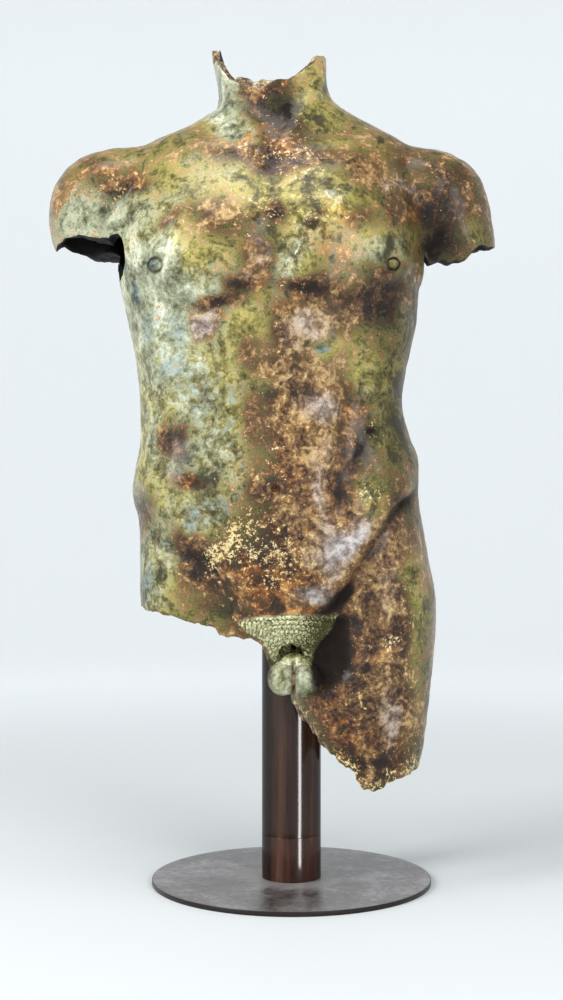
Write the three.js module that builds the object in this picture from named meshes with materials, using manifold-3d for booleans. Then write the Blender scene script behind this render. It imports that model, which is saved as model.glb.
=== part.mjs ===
// A broken bronze torso of a standing male figure on a round steel post and plate.
// Millimetres, +Z up. The figure faces -Y and its right side is on -X.
// The origin is the centre of the plate's underside.
import * as THREE from "three";
import { LoftGeometry } from "three/addons/geometries/LoftGeometry.js";
import { mergeVertices } from "three/addons/utils/BufferGeometryUtils.js";
import Module from "manifold-3d";

const wasm = await Module();
wasm.setup();

// Stand
const plateRadius = 150;
const plateThickness = 5;
const plateChamfer = 0.8;
const postRadius = 31.75;
const postWall = 5;
const socketHeight = 47;
const postTop = 520;
const touchGap = 0.3;
const roomAbovePost = 1.2;

// Casting
const wall = 8;
const frontFullness = 2.5;
const backFullness = 2.3;
const ballFacets = 18;
const lobeFacets = 12;

// Trunk and neck, from the crotch up: the height of each named level, its right and
// left edges, its front and back, and the depth where it is widest.
const trunkLevels = [
  { z: 236, right: -70, left: 78, front: -80, back: 40, side: -15 }, // perineum
  { z: 262, right: -118, left: 120, front: -102, back: 72, side: -10 }, // crotch
  { z: 300, right: -150, left: 144, front: -118, back: 84, side: -8 }, // pubis
  { z: 345, right: -160, left: 146, front: -126, back: 72, side: -10 }, // groin
  { z: 382, right: -161, left: 140.5, front: -131, back: 58, side: -14 }, // hip bones
  { z: 420, right: -169, left: 133.5, front: -133, back: 46, side: -20 }, // navel
  { z: 448, right: -164.5, left: 136, front: -133, back: 41, side: -24 }, // flank roll
  { z: 478, right: -159.5, left: 124.5, front: -132, back: 39.5, side: -27 },
  { z: 515, right: -160, left: 116, front: -132, back: 45, side: -28 }, // waist
  { z: 560, right: -165, left: 123.5, front: -136, back: 60, side: -28 },
  { z: 600, right: -173, left: 133, front: -142, back: 73, side: -27 }, // rib arch
  { z: 645, right: -182.5, left: 134, front: -149, back: 82, side: -25 }, // breast
  { z: 690, right: -187, left: 140, front: -144, back: 86, side: -22 }, // armpits
  { z: 735, right: -184, left: 142, front: -127, back: 85, side: -14 },
  { z: 768, right: -176, left: 136, front: -107, back: 77, side: -4 }, // collar bones
  { z: 788, right: -158, left: 126, front: -93, back: 67, side: 6 },
  { z: 801, right: -129, left: 104.5, front: -85, back: 60, side: 10 }, // trapezius
  { z: 815, right: -101, left: 77.5, front: -79, back: 54, side: 8 },
  { z: 829, right: -78.5, left: 50, front: -76, back: 49, side: 0 },
  { z: 845, right: -78, left: 39, front: -75, back: 46, side: -12 }, // neck
  { z: 880, right: -85, left: 37.5, front: -76, back: 42, side: -16 },
  { z: 925, right: -90, left: 37.5, front: -78, back: 40, side: -18 },
];

// Shoulders and stumps of the arms, from below the break up.
const rightArmLevels = [
  { z: 664, right: -250, left: -152, front: -78, back: 37, side: -22 },
  { z: 685, right: -254.5, left: -146, front: -81, back: 39, side: -22 },
  { z: 706, right: -258.5, left: -138, front: -84, back: 42, side: -22 },
  { z: 730, right: -256, left: -128, front: -86, back: 46, side: -21 },
  { z: 752, right: -247, left: -122, front: -82, back: 45, side: -19 },
  { z: 768, right: -232, left: -124, front: -70, back: 38, side: -16 },
  { z: 779, right: -213, left: -132, front: -54, back: 27, side: -13 },
  { z: 785, right: -194, left: -150, front: -34, back: 10, side: -12 },
];
const leftArmLevels = [
  { z: 646, right: 118, left: 214, front: -74, back: 34, side: -22 },
  { z: 680, right: 110, left: 217, front: -79, back: 38, side: -22 },
  { z: 706, right: 98, left: 213, front: -83, back: 42, side: -22 },
  { z: 730, right: 88, left: 208.5, front: -85, back: 46, side: -21 },
  { z: 752, right: 84, left: 200, front: -81, back: 45, side: -19 },
  { z: 768, right: 86, left: 187, front: -69, back: 38, side: -16 },
  { z: 779, right: 94, left: 169, front: -53, back: 27, side: -13 },
  { z: 785, right: 110, left: 150, front: -34, back: 10, side: -12 },
];

// The hollow of each arm runs out through its break, clear of the hollow of the trunk.
const rightMouthLevels = [
  { z: 600, right: -244, left: -203, front: -66, back: 26, side: -22 },
  { z: 682, right: -254, left: -199, front: -76, back: 34, side: -22 },
  ...rightArmLevels.slice(2),
];
const leftMouthLevels = [
  { z: 580, right: 157, left: 212, front: -64, back: 24, side: -22 },
  { z: 684, right: 155, left: 216, front: -76, back: 34, side: -22 },
  ...leftArmLevels.slice(2),
];

// Roots of the thighs, from below the break up into the groin.
const rightThighLevels = [
  { z: 232, right: -152, left: -16, front: -96, back: 66, side: -20 },
  { z: 270, right: -157.5, left: -14, front: -107, back: 72, side: -18 },
  { z: 310, right: -160.5, left: -16, front: -112, back: 66, side: -18 },
  { z: 350, right: -161, left: -30, front: -108, back: 50, side: -20 },
  { z: 385, right: -150, left: -60, front: -90, back: 24, side: -22 },
];
const leftThighLevels = [
  { z: 84, right: 14, left: 128, front: -92, back: 34, side: -30 },
  { z: 130, right: 8, left: 135, front: -99, back: 44, side: -30 },
  { z: 175, right: 1, left: 142.5, front: -105, back: 54, side: -28 },
  { z: 215, right: -5, left: 147, front: -109, back: 64, side: -24 },
  { z: 260, right: -8, left: 151.5, front: -112, back: 76, side: -20 },
  { z: 300, right: -8, left: 153.5, front: -113, back: 74, side: -18 },
  { z: 340, right: 4, left: 147, front: -110, back: 54, side: -20 },
  { z: 378, right: 34, left: 130, front: -92, back: 26, side: -22 },
];

// Buttocks, and the lobes of the scrotum: centre and half sizes.
const buttocks = [
  { x: -84, y: 30, z: 305, wide: 70, deep: 66, high: 82 },
  { x: 76, y: 30, z: 292, wide: 70, deep: 66, high: 84 },
];
const scrotum = [
  { x: -9.5, y: -102, z: 230.5, wide: 15.8, deep: 17, high: 17.5 },
  { x: 13.4, y: -102, z: 229, wide: 15.6, deep: 18, high: 20 },
  { x: 1.5, y: -97, z: 247, wide: 17.5, deep: 14, high: 17 },
];

// Swellings (and, with a negative lift, hollows) of the front and of the back.
const frontSwellings = [
  { x: -97, z: 671, wide: 58, high: 44, lift: 8 }, // breasts
  { x: 58, z: 673, wide: 58, high: 44, lift: 8 },
  { x: -24, z: 762, wide: 15, high: 14, lift: -5 }, // pit of the neck
  { x: -81, z: 774, wide: 50, high: 9, lift: 3.5 }, // collar bones
  { x: 46, z: 774, wide: 48, high: 9, lift: 3.5 },
  { x: -137, z: 435, wide: 29, high: 26, lift: 5 }, // flank rolls
  { x: 103, z: 437, wide: 27, high: 29, lift: 6 },
  { x: -10, z: 369, wide: 60, high: 46, lift: 5.5 }, // belly
  { x: -2, z: 291, wide: 40, high: 25, lift: 6 }, // pubic mound
  { x: 93, z: 269, wide: 23, high: 80, lift: 4 }, // thigh muscle
];
const backSwellings = [
  { x: -104, z: 688, wide: 44, high: 56, lift: 8 }, // shoulder blades
  { x: 64, z: 688, wide: 44, high: 56, lift: 8 },
  { x: -150, z: 615, wide: 26, high: 60, lift: 4 }, // broad back muscles
  { x: 106, z: 615, wide: 26, high: 60, lift: 4 },
  { x: -47, z: 490, wide: 19, high: 84, lift: 5 }, // loin columns
  { x: 10, z: 490, wide: 19, high: 84, lift: 5 },
];

// Creases and cords, [across, height] along each line.
const frontCreases = [
  { wide: 11, lift: -4, line: [[-25, 748], [-23, 617]] }, // breastbone
  { wide: 9, lift: -3, line: [[-23, 617], [-27, 520], [-17, 428]] }, // mid line
  { wide: 12, lift: -4, line: [[63, 551], [57, 471], [37, 355]] }, // edge of the belly muscle
  { wide: 12, lift: -4, line: [[-161, 418], [-112, 361], [-48, 305]] }, // right groin
  { wide: 10, lift: -5, line: [[39, 296], [78, 361], [108, 406], [132, 423]] }, // left groin
  { wide: 9, lift: 5, line: [[-28, 768], [-47, 799], [-64, 836], [-74, 864]] }, // neck cords
  { wide: 9, lift: 5, line: [[-16, 768], [5, 799], [25, 836], [32, 864]] },
];
const backCreases = [
  { wide: 15, lift: -5, line: [[-20, 800], [-20, 560], [-9, 385]] }, // spine
  { wide: 10, lift: -5, line: [[-9, 392], [-3, 270]] }, // cleft
];

// Ledges: the flesh stands out above each line and falls back to nothing with height.
const ledges = [
  {
    wide: 8, lift: 6.5, fall: 40, // right breast
    line: [[-162, 660], [-130, 626], [-87, 610], [-47, 625], [-34, 640]],
  },
  {
    wide: 8, lift: 7, fall: 40, // left breast
    line: [[-12, 640], [28, 622], [62, 618], [119, 645], [131, 666]],
  },
  { wide: 9, lift: 4, fall: 42, line: [[-121, 574], [-90, 564], [-42, 595]] }, // rib arches
  { wide: 9, lift: 4, fall: 42, line: [[-14, 589], [36, 560], [65, 568]] },
];

// Neck rim, by turn about the neck in degrees (0 left, -90 front, 90 back).
const neckX = -20;
const neckY = -15;
const neckRim = [
  [-180, 871], [-168, 873], [-156, 876], [-143, 869], [-133, 854], [-117, 844], [-96, 844], [-67, 850],
  [-49, 866], [-27, 879], [-5, 879], [45, 861], [110, 853], [135, 859], [150, 872], [158, 893],
  [163, 900], [169, 900], [174, 892], [180, 871],
];

// Other breaks: [across, height] points of each ragged edge, along the front and the back.
const rightArmFront = [
  [-270, 676], [-248, 672], [-240, 679], [-218, 683], [-189, 680], [-184, 674], [-169, 654], [-150, 650],
];
const rightArmBack = [[-262, 690], [-249, 688], [-225, 679], [-205, 672], [-150, 672]];
const leftArmFront = [
  [100, 668], [132, 668], [143, 656], [154, 660], [163, 656], [180, 660], [194, 675], [209, 674], [220, 680],
];
const leftArmBack = [[100, 686], [140, 682], [170, 685], [200, 681], [222, 684]];
const hipFront = [
  [-175, 304], [-149, 297], [-118, 292], [-78, 282], [-66, 272], [-42, 270], [-30, 262], [-22, 236],
  [-3, 210], [8, 187], [28, 165], [43, 147], [61, 130], [66, 120], [82, 113], [100, 118],
  [124, 126], [140, 140], [165, 146],
];
// Behind the front skin the break climbs, which leaves room for the post.
const hipBehind = [
  [-175, 303], [-120, 293], [-70, 291], [0, 296], [30, 290], [40, 262], [46, 220], [60, 148],
  [72, 126], [86, 119], [110, 124], [132, 132], [165, 146],
];

// A cubic through the named levels whose slopes never overshoot.
function slopeAt(levels, key, i) {
  if (i === 0 || i === levels.length - 1) return 0;
  const below = (levels[i][key] - levels[i - 1][key]) / (levels[i].z - levels[i - 1].z);
  const above = (levels[i + 1][key] - levels[i][key]) / (levels[i + 1].z - levels[i].z);
  return below * above <= 0 ? 0 : (2 * below * above) / (below + above);
}

function levelValue(levels, key, z) {
  let i = 0;
  while (i < levels.length - 2 && z > levels[i + 1].z) i += 1;
  const span = levels[i + 1].z - levels[i].z;
  const t = THREE.MathUtils.clamp((z - levels[i].z) / span, 0, 1);
  const start = levels[i][key] * (1 + 2 * t) * (1 - t) ** 2;
  const end = levels[i + 1][key] * t * t * (3 - 2 * t);
  const leave = slopeAt(levels, key, i) * span * t * (1 - t) ** 2;
  const arrive = slopeAt(levels, key, i + 1) * span * t * t * (t - 1);
  return start + end + leave + arrive;
}

// One level of the body: a superellipse, flatter in front than behind.
function sectionAt(levels, z, count) {
  const right = levelValue(levels, "right", z);
  const left = levelValue(levels, "left", z);
  const front = levelValue(levels, "front", z);
  const back = levelValue(levels, "back", z);
  const side = levelValue(levels, "side", z);
  return Array.from({ length: count }, (_, i) => {
    const angle = (i / count) * 2 * Math.PI;
    const across = Math.cos(angle);
    const depth = Math.sin(angle);
    const power = 2 / (depth < 0 ? frontFullness : backFullness);
    const reach = depth < 0 ? side - front : back - side;
    return new THREE.Vector3(
      (right + left) / 2 + ((left - right) / 2) * Math.sign(across) * Math.abs(across) ** power,
      side + reach * Math.sign(depth) * Math.abs(depth) ** power,
      z,
    );
  });
}

function withoutSeams(geometry) {
  const plain = new THREE.BufferGeometry().copy(geometry);
  plain.deleteAttribute("normal");
  plain.deleteAttribute("uv");
  const merged = mergeVertices(plain, 1e-3);
  merged.computeVertexNormals();
  return merged;
}

// Distance from (x, z) to a line, signed so that it is positive above the line.
function distanceTo(line, x, z) {
  let nearest = Infinity;
  for (let i = 1; i < line.length; i += 1) {
    const [fromX, fromZ] = line[i - 1];
    const runX = line[i][0] - fromX;
    const runZ = line[i][1] - fromZ;
    const share = ((x - fromX) * runX + (z - fromZ) * runZ) / (runX ** 2 + runZ ** 2);
    const t = THREE.MathUtils.clamp(share, 0, 1);
    const offX = x - fromX - t * runX;
    const offZ = z - fromZ - t * runZ;
    const far = Math.hypot(offX, offZ);
    if (far < Math.abs(nearest)) nearest = runX * offZ - runZ * offX < 0 ? -far : far;
  }
  return nearest;
}

function bell(value) {
  return Math.exp(-(value ** 2));
}

// How far the forms raise the surface at a point whose normal is given.
function reliefAt(x, z, normal) {
  const isFront = normal.y < 0;
  const swellings = isFront ? frontSwellings : backSwellings;
  const creases = isFront ? frontCreases : backCreases;
  let lift = 0;
  for (const form of swellings) {
    lift += form.lift * bell(Math.hypot((x - form.x) / form.wide, (z - form.z) / form.high));
  }
  for (const form of creases) lift += form.lift * bell(distanceTo(form.line, x, z) / form.wide);
  for (const form of isFront ? ledges : []) {
    const far = distanceTo(form.line, x, z);
    const beyond = Math.max(form.line[0][0] - x, x - form.line.at(-1)[0], 0);
    const step = THREE.MathUtils.smoothstep(far, -form.wide, form.wide);
    lift += form.lift * step * Math.exp(-Math.max(far, 0) / form.fall) * bell(beyond / form.wide);
  }
  return lift * THREE.MathUtils.smoothstep(Math.abs(normal.y), 0.1, 0.65);
}

// Moves each point along its normal: by the relief, and inwards by the inset.
function shaped(geometry, inset) {
  const { position, normal } = geometry.attributes;
  const point = new THREE.Vector3();
  const outward = new THREE.Vector3();
  for (let i = 0; i < position.count; i += 1) {
    point.fromBufferAttribute(position, i);
    outward.fromBufferAttribute(normal, i);
    point.addScaledVector(outward, reliefAt(point.x, point.z, outward) - inset);
    position.setXYZ(i, point.x, point.y, point.z);
  }
  return geometry;
}

function loft(levels, around, up, inset = 0) {
  const low = levels[0].z;
  const high = levels.at(-1).z;
  const sections = Array.from({ length: up + 1 }, (_, i) =>
    sectionAt(levels, low + ((high - low) * i) / up, around),
  );
  const surface = new LoftGeometry(sections, { capStart: true, capEnd: true });
  return solidOf(shaped(withoutSeams(surface), inset));
}

function ellipsoid({ x, y, z, wide, deep, high }, facets, inset = 0) {
  const ball = new THREE.SphereGeometry(1, facets, facets / 2);
  ball.rotateX(Math.PI / 2);
  ball.scale(wide - inset, deep - inset, high - inset);
  ball.translate(x, y, z);
  return solidOf(withoutSeams(ball));
}

function solidOf(geometry) {
  const vertProperties = geometry.attributes.position.array;
  const triVerts = new Uint32Array(geometry.index.array);
  return new wasm.Manifold(new wasm.Mesh({ numProp: 3, vertProperties, triVerts }));
}

function geometryOf(solid) {
  const mesh = solid.getMesh();
  const geometry = new THREE.BufferGeometry();
  geometry.setAttribute("position", new THREE.BufferAttribute(mesh.vertProperties, 3));
  geometry.setIndex(new THREE.BufferAttribute(mesh.triVerts, 1));
  geometry.computeVertexNormals();
  return geometry;
}

// Height of an edge at a place along it, by straight lines between its points.
function edgeHeight(edge, place) {
  if (place <= edge[0][0]) return edge[0][1];
  const next = edge.findIndex(([along]) => along >= place);
  if (next < 0) return edge.at(-1)[1];
  const [from, fromZ] = edge[next - 1];
  const [to, toZ] = edge[next];
  return THREE.MathUtils.mapLinear(place, from, to, fromZ, toZ);
}

// A block whose broken face follows height(x, y) and whose other end lies at farZ.
function breakBlock({ minX, maxX, minY, maxY, farZ, step, height }) {
  const across = Math.round((maxX - minX) / step);
  const deep = Math.round((maxY - minY) / step);
  const block = new THREE.BoxGeometry(maxX - minX, maxY - minY, 2, across, deep, 1);
  block.translate((minX + maxX) / 2, (minY + maxY) / 2, 0);
  const { position } = block.attributes;
  const cutsDown = farZ < height((minX + maxX) / 2, (minY + maxY) / 2);
  for (let i = 0; i < position.count; i += 1) {
    const isBroken = position.getZ(i) > 0 === cutsDown;
    position.setZ(i, isBroken ? height(position.getX(i), position.getY(i)) : farZ);
  }
  return solidOf(withoutSeams(block));
}

function neckBreak() {
  return breakBlock({
    minX: -110, maxX: 60, minY: -95, maxY: 75, farZ: 940, step: 6.5,
    height: (x, y) => {
      const turn = THREE.MathUtils.radToDeg(Math.atan2(y - neckY, x - neckX));
      return edgeHeight(neckRim, turn);
    },
  });
}

// Height of a broken face that runs from its front edge to its back edge.
function between(front, back, nearY, farY) {
  return (x, y) => {
    const behind = THREE.MathUtils.smoothstep(y, nearY, farY);
    return THREE.MathUtils.lerp(edgeHeight(front, x), edgeHeight(back, x), behind);
  };
}

const rightArmBreak = {
  minX: -275, maxX: -140, minY: -100, maxY: 70, farZ: 600, step: 10,
  height: between(rightArmFront, rightArmBack, -50, 20),
};
const rightArmSlot = { ...rightArmBreak, minX: -200, maxX: -171, minY: -86, maxY: -24, farZ: 643 };
const leftArmBreak = {
  minX: 100, maxX: 228, minY: -100, maxY: 70, farZ: 560, step: 10,
  height: between(leftArmFront, leftArmBack, -50, 20),
};
const hipBreak = {
  minX: -180, maxX: 170, minY: -165, maxY: 140, farZ: 60, step: 11,
  height: between(hipFront, hipBehind, -86, -50),
};

function cylinder(radius, low, high) {
  const tube = new THREE.CylinderGeometry(radius, radius, high - low, 48);
  tube.rotateX(Math.PI / 2);
  tube.translate(0, 0, (low + high) / 2);
  return solidOf(withoutSeams(tube));
}

// The casting: the outer masses, less the same masses set in by the wall, less the breaks.
function castTorso() {
  const rightArm = loft(rightArmLevels, 22, 10).subtract(breakBlock(rightArmBreak));
  const leftArm = loft(leftArmLevels, 22, 10).subtract(breakBlock(leftArmBreak));
  const skin = wasm.Manifold.union([
    loft(trunkLevels, 40, 36),
    rightArm,
    leftArm,
    loft(rightThighLevels, 22, 6),
    loft(leftThighLevels, 24, 12),
    ...buttocks.map((form) => ellipsoid(form, ballFacets)),
  ]);
  const hollow = wasm.Manifold.union([
    loft(trunkLevels, 24, 20, wall),
    loft(rightMouthLevels, 14, 7, wall),
    loft(leftMouthLevels, 14, 7, wall),
    loft(rightThighLevels, 16, 4, wall),
    loft(leftThighLevels, 16, 8, wall),
    ...buttocks.map((form) => ellipsoid(form, lobeFacets, wall)),
  ]);
  const shell = skin
    .subtract(hollow)
    .subtract(neckBreak())
    .subtract(breakBlock(rightArmSlot))
    .subtract(breakBlock(hipBreak));
  return wasm.Manifold.union([shell, ...scrotum.map((lobe) => ellipsoid(lobe, lobeFacets))]).subtract(
    cylinder(postRadius + touchGap, 100, postTop + roomAbovePost),
  );
}

// A ring or disc turned about the post's axis; the profile runs [radius, height].
function turned(profile) {
  const lathe = new THREE.LatheGeometry(profile.map(([r, z]) => new THREE.Vector2(r, z)), 48);
  lathe.rotateX(Math.PI / 2);
  return withoutSeams(lathe);
}

function ring(outer, inner, low, high) {
  return turned([[inner, low], [outer, low], [outer, high], [inner, high], [inner, low]]);
}

const bronze = new THREE.MeshStandardMaterial({ color: 0x7d7a45, roughness: 0.5, metalness: 0.6 });
const steel = new THREE.MeshStandardMaterial({ color: 0x3b2a26, roughness: 0.35, metalness: 0.9 });

function part(name, geometry, material) {
  const mesh = new THREE.Mesh(geometry, material);
  mesh.name = name;
  return mesh;
}

function largestBody(solid) {
  return solid.decompose().reduce((a, b) => (a.volume() > b.volume() ? a : b));
}

const figure = new THREE.Group();
figure.add(part("torso", geometryOf(largestBody(castTorso())), bronze));

const stand = new THREE.Group();
const socketTop = plateThickness + socketHeight;
stand.add(
  part(
    "base_plate",
    turned([
      [0, 0],
      [plateRadius - plateChamfer, 0],
      [plateRadius, plateChamfer],
      [plateRadius, plateThickness - plateChamfer],
      [plateRadius - plateChamfer, plateThickness],
      [0, plateThickness],
    ]),
    steel,
  ),
  part("post_socket", ring(postRadius, postRadius - postWall, plateThickness, socketTop), steel),
  part("post", ring(postRadius, postRadius - postWall, socketTop, postTop), steel),
);

const sculpture = new THREE.Group();
sculpture.add(figure, stand);

export default sculpture;
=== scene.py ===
import bmesh
import bpy
import numpy as np
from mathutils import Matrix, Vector


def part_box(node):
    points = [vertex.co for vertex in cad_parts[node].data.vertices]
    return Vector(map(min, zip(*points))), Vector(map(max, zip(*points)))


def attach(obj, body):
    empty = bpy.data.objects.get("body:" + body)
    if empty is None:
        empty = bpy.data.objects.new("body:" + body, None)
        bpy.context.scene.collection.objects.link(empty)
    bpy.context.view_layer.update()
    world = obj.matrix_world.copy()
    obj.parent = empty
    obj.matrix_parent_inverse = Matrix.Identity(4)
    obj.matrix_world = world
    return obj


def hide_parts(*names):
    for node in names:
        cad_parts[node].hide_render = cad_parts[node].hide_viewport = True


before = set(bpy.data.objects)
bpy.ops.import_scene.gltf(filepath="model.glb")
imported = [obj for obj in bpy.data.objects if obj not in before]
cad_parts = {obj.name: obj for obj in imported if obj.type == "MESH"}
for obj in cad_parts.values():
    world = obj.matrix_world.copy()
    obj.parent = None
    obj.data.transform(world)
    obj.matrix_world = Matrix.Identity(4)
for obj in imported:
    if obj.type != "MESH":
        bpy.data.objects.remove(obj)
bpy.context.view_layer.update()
mm = 0.001

camera = {
    "place": (-10.7, -1718, 411),  # millimetres; also the eye point that front places are charted from
    "lens": 57.31,
}


def addCamera():
    data = bpy.data.cameras.new("camera")
    data.lens = camera["lens"]
    data.sensor_width = 36
    data.sensor_fit = "AUTO"
    eye = bpy.data.objects.new("camera", data)
    eye.location = Vector(camera["place"]) * mm
    eye.rotation_euler = (np.pi / 2, 0, 0)
    bpy.context.scene.collection.objects.link(eye)
    bpy.context.scene.camera = eye


studio = {
    "floor": "#D5D9DA",
    "air": "#EBEEF1",
    "airStrength": 0.3,
    "glow": (0.5, 2.1, 0.35),  # the backdrop glows from this radius to that one (m), up to this much: painted light that also lights the piece a little
    "cove": (2.6, 2.0, 4.6),  # metres: flat radius, bend radius, wall height
    "lamps": [
        # name, place in metres, aimed at, side lengths, watts
        ("leftSoftbox", (-2.2, -1.6, 1.55), (0, 0, 0.55), (0.9, 1.5), 61),
        ("rightStrip", (1.15, -2.05, 1.2), (0, 0, 0.45), (0.8, 1.3), 24),
        # this one shines on the tube alone
        ("tubeStrip", (0.041, -0.081, 0.107), (0.009, -0.03, 0.107), (0.013, 0.198), 0.3),
        ("topSoftbox", (-0.2, -0.6, 2.5), (0, 0, 0.5), (1.4, 1.1), 28),
    ],
}


def hexColour(text):
    # sRGB hex to linear light: c / 12.92 below 0.04045, else ((c + 0.055) / 1.055) ** 2.4
    channels = np.array([int(text[i : i + 2], 16) for i in (1, 3, 5)]) / 255
    linear = np.where(channels <= 0.04045, channels / 12.92, ((channels + 0.055) / 1.055) ** 2.4)
    return (*linear.tolist(), 1.0)


def addNode(tree, kind, inputs=None, stops=None, **settings):
    # inputs: socket name or number, with what it takes: another node's socket, a hex colour or a value
    node = tree.nodes.new(kind)
    for name, value in settings.items():
        setattr(node, name, value)
    for key, value in (inputs or {}).items():
        if isinstance(value, bpy.types.NodeSocket):
            tree.links.new(value, node.inputs[key])
        else:
            node.inputs[key].default_value = hexColour(value) if isinstance(value, str) else value
    for k, (place, colour) in enumerate(stops or []):
        elements = node.color_ramp.elements
        element = elements[k] if k < len(elements) else elements.new(place)
        element.position = place
        element.color = hexColour(colour)
    return node


def newMaterial(name):
    material = bpy.data.materials.new(name)
    material.use_nodes = True
    tree = material.node_tree
    tree.nodes.clear()
    return material, tree


def addAir():
    world = bpy.data.worlds.new("air")
    world.use_nodes = True
    back = world.node_tree.nodes["Background"]
    back.inputs["Color"].default_value = hexColour(studio["air"])
    back.inputs["Strength"].default_value = studio["airStrength"]
    bpy.context.scene.world = world
    bpy.context.scene.view_settings.view_transform = "Standard"


def addLamps():
    for name, place, aim, sides, watts in studio["lamps"]:
        data = bpy.data.lights.new(name, "AREA")
        data.shape = "RECTANGLE"
        data.size, data.size_y = sides
        data.energy = watts
        lamp = bpy.data.objects.new(name, data)
        lamp.visible_camera = False
        lamp.location = place
        lamp.rotation_euler = (Vector(aim) - Vector(place)).to_track_quat("-Z", "Y").to_euler()
        bpy.context.scene.collection.objects.link(lamp)


def addFloor():
    # surface (angle, profile): a flat round sheet that curves up into a wall, so no edge shows
    flat, bend, top = studio["cove"]
    turn = np.linspace(0, np.pi / 2, 24)
    curve = [(flat + bend * np.sin(t), bend * (1 - np.cos(t))) for t in turn]
    profile = np.array([(0.001, 0), (flat * 0.5, 0), *curve, (flat + bend, top)])
    around = 96
    angle = np.linspace(0, 2 * np.pi, around, endpoint=False)[None, :]
    radius, height = profile[:, :1], profile[:, 1:]
    height = np.broadcast_to(height, (len(profile), around))
    points = np.stack([radius * np.cos(angle), radius * np.sin(angle), height], -1)
    ring, col = np.meshgrid(np.arange(len(profile) - 1), np.arange(around), indexing="ij")
    a, b = ring * around + col, ring * around + (col + 1) % around
    faces = np.stack([a, b, b + around, a + around], -1).reshape(-1, 4)
    mesh = bpy.data.meshes.new("floor")
    mesh.from_pydata(points.reshape(-1, 3).tolist(), [], faces.tolist())
    mesh.shade_smooth()
    mesh.materials.append(paleFloor())
    floor = bpy.data.objects.new("floor", mesh)
    bpy.context.scene.collection.objects.link(floor)


def paleFloor():
    # matt seamless paper: it shows only soft shadows, and it glows more the farther it lies from the
    # piece, painted light on the backdrop
    material, tree = newMaterial("pale_floor")
    near, far, strength = studio["glow"]
    place = addNode(tree, "ShaderNodeTexCoord").outputs["Object"]
    radius = addNode(tree, "ShaderNodeVectorMath", {0: place}, operation="LENGTH").outputs["Value"]
    span = {"Value": radius, "From Min": near, "From Max": far, "To Max": strength}
    glow = addNode(tree, "ShaderNodeMapRange", span, interpolation_type="SMOOTHSTEP").outputs[0]
    look = {"Base Color": studio["floor"], "Roughness": 0.7}
    look.update({"Emission Color": studio["air"], "Emission Strength": glow})
    shader = addNode(tree, "ShaderNodeBsdfPrincipled", look)
    addNode(tree, "ShaderNodeOutputMaterial", {"Surface": shader.outputs[0]})
    return material


def addStudio():
    addCamera()
    addAir()
    addLamps()
    addFloor()
    print("studio: cove floor and", len(studio["lamps"]), "lamps")


# Body levels, in millimetres: height, edge on the figure's right (-X), edge on its left, front, back,
# depth where it is widest.
torso = {
    "wall": 8.0,
    "voxel": 3.6,
    "hollowVoxel": 7.5,
    "blend": 34,  # smoothing rounds that melt the joined masses together
    "trunk": [
        (236, -70, 78, -80, 40, -15),  # perineum
        (262, -118, 120, -102, 72, -10),  # crotch
        (300, -150, 144, -118, 84, -8),  # pubis
        (345, -160, 146, -126, 72, -10),  # groin
        (382, -161, 140.5, -131, 58, -14),  # hip bones
        (420, -169, 133.5, -133, 46, -20),  # navel
        (448, -164.5, 136, -133, 41, -24),  # flank roll
        (478, -159.5, 124.5, -132, 39.5, -27),
        (515, -160, 116, -132, 45, -28),  # waist
        (560, -165, 123.5, -136, 60, -28),
        (600, -173, 133, -142, 73, -27),  # rib arch
        (645, -182.5, 134, -148, 82, -25),  # breast
        (690, -187, 140, -144, 86, -22),  # armpits
        (735, -184, 142, -127, 85, -14),
        (768, -176, 136, -107, 77, -4),  # collar bones
        (788, -158, 126, -93, 67, 6),
        (801, -129, 104.5, -85, 60, 10),  # trapezius
        (815, -101, 77.5, -79, 54, 8),
        (829, -78.5, 50, -76, 49, 0),
        (845, -78, 39, -75, 46, -12),  # neck
        (880, -85, 37.5, -76, 42, -16),
        (925, -90, 37.5, -78, 40, -18),
    ],
    "rightArm": [
        (664, -250, -152, -78, 37, -22),
        (685, -254.5, -146, -81, 39, -22),
        (706, -258.5, -138, -84, 42, -22),
        (730, -256, -128, -86, 46, -21),
        (752, -247, -122, -82, 45, -19),
        (768, -232, -124, -70, 38, -16),
        (779, -213, -132, -54, 27, -13),
        (785, -194, -150, -34, 10, -12),
    ],
    "leftArm": [
        (646, 118, 214, -74, 34, -22),
        (680, 110, 217, -79, 38, -22),
        (706, 98, 213, -83, 42, -22),
        (730, 88, 208.5, -85, 46, -21),
        (752, 84, 200, -81, 45, -19),
        (768, 86, 187, -69, 38, -16),
        (779, 94, 169, -53, 27, -13),
        (785, 110, 150, -34, 10, -12),
    ],
    # the hollow of each arm runs out through its break, clear of the trunk's own hollow
    "rightArmMouth": [(600, -244, -203, -66, 26, -22), (682, -254, -199, -76, 34, -22)],
    "leftArmMouth": [(580, 157, 212, -64, 24, -22), (684, 155, 216, -76, 34, -22)],
    "rightThigh": [
        (232, -152, -16, -96, 66, -20),
        (270, -157.5, -14, -107, 72, -18),
        (310, -160.5, -16, -112, 66, -18),
        (350, -161, -30, -108, 50, -20),
        (385, -150, -60, -90, 24, -22),
    ],
    "leftThigh": [
        (84, 14, 128, -92, 34, -30),
        (130, 8, 135, -99, 44, -30),
        (175, 1, 142.5, -105, 54, -28),
        (215, -5, 147, -109, 64, -24),
        (260, -8, 151.5, -112, 76, -20),
        (300, -8, 153.5, -113, 74, -18),
        (340, 4, 147, -110, 54, -20),
        (378, 34, 130, -92, 26, -22),
    ],
    "buttocks": [(-84, 30, 305, 70, 66, 82), (76, 30, 292, 70, 66, 84)],
}


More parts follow.
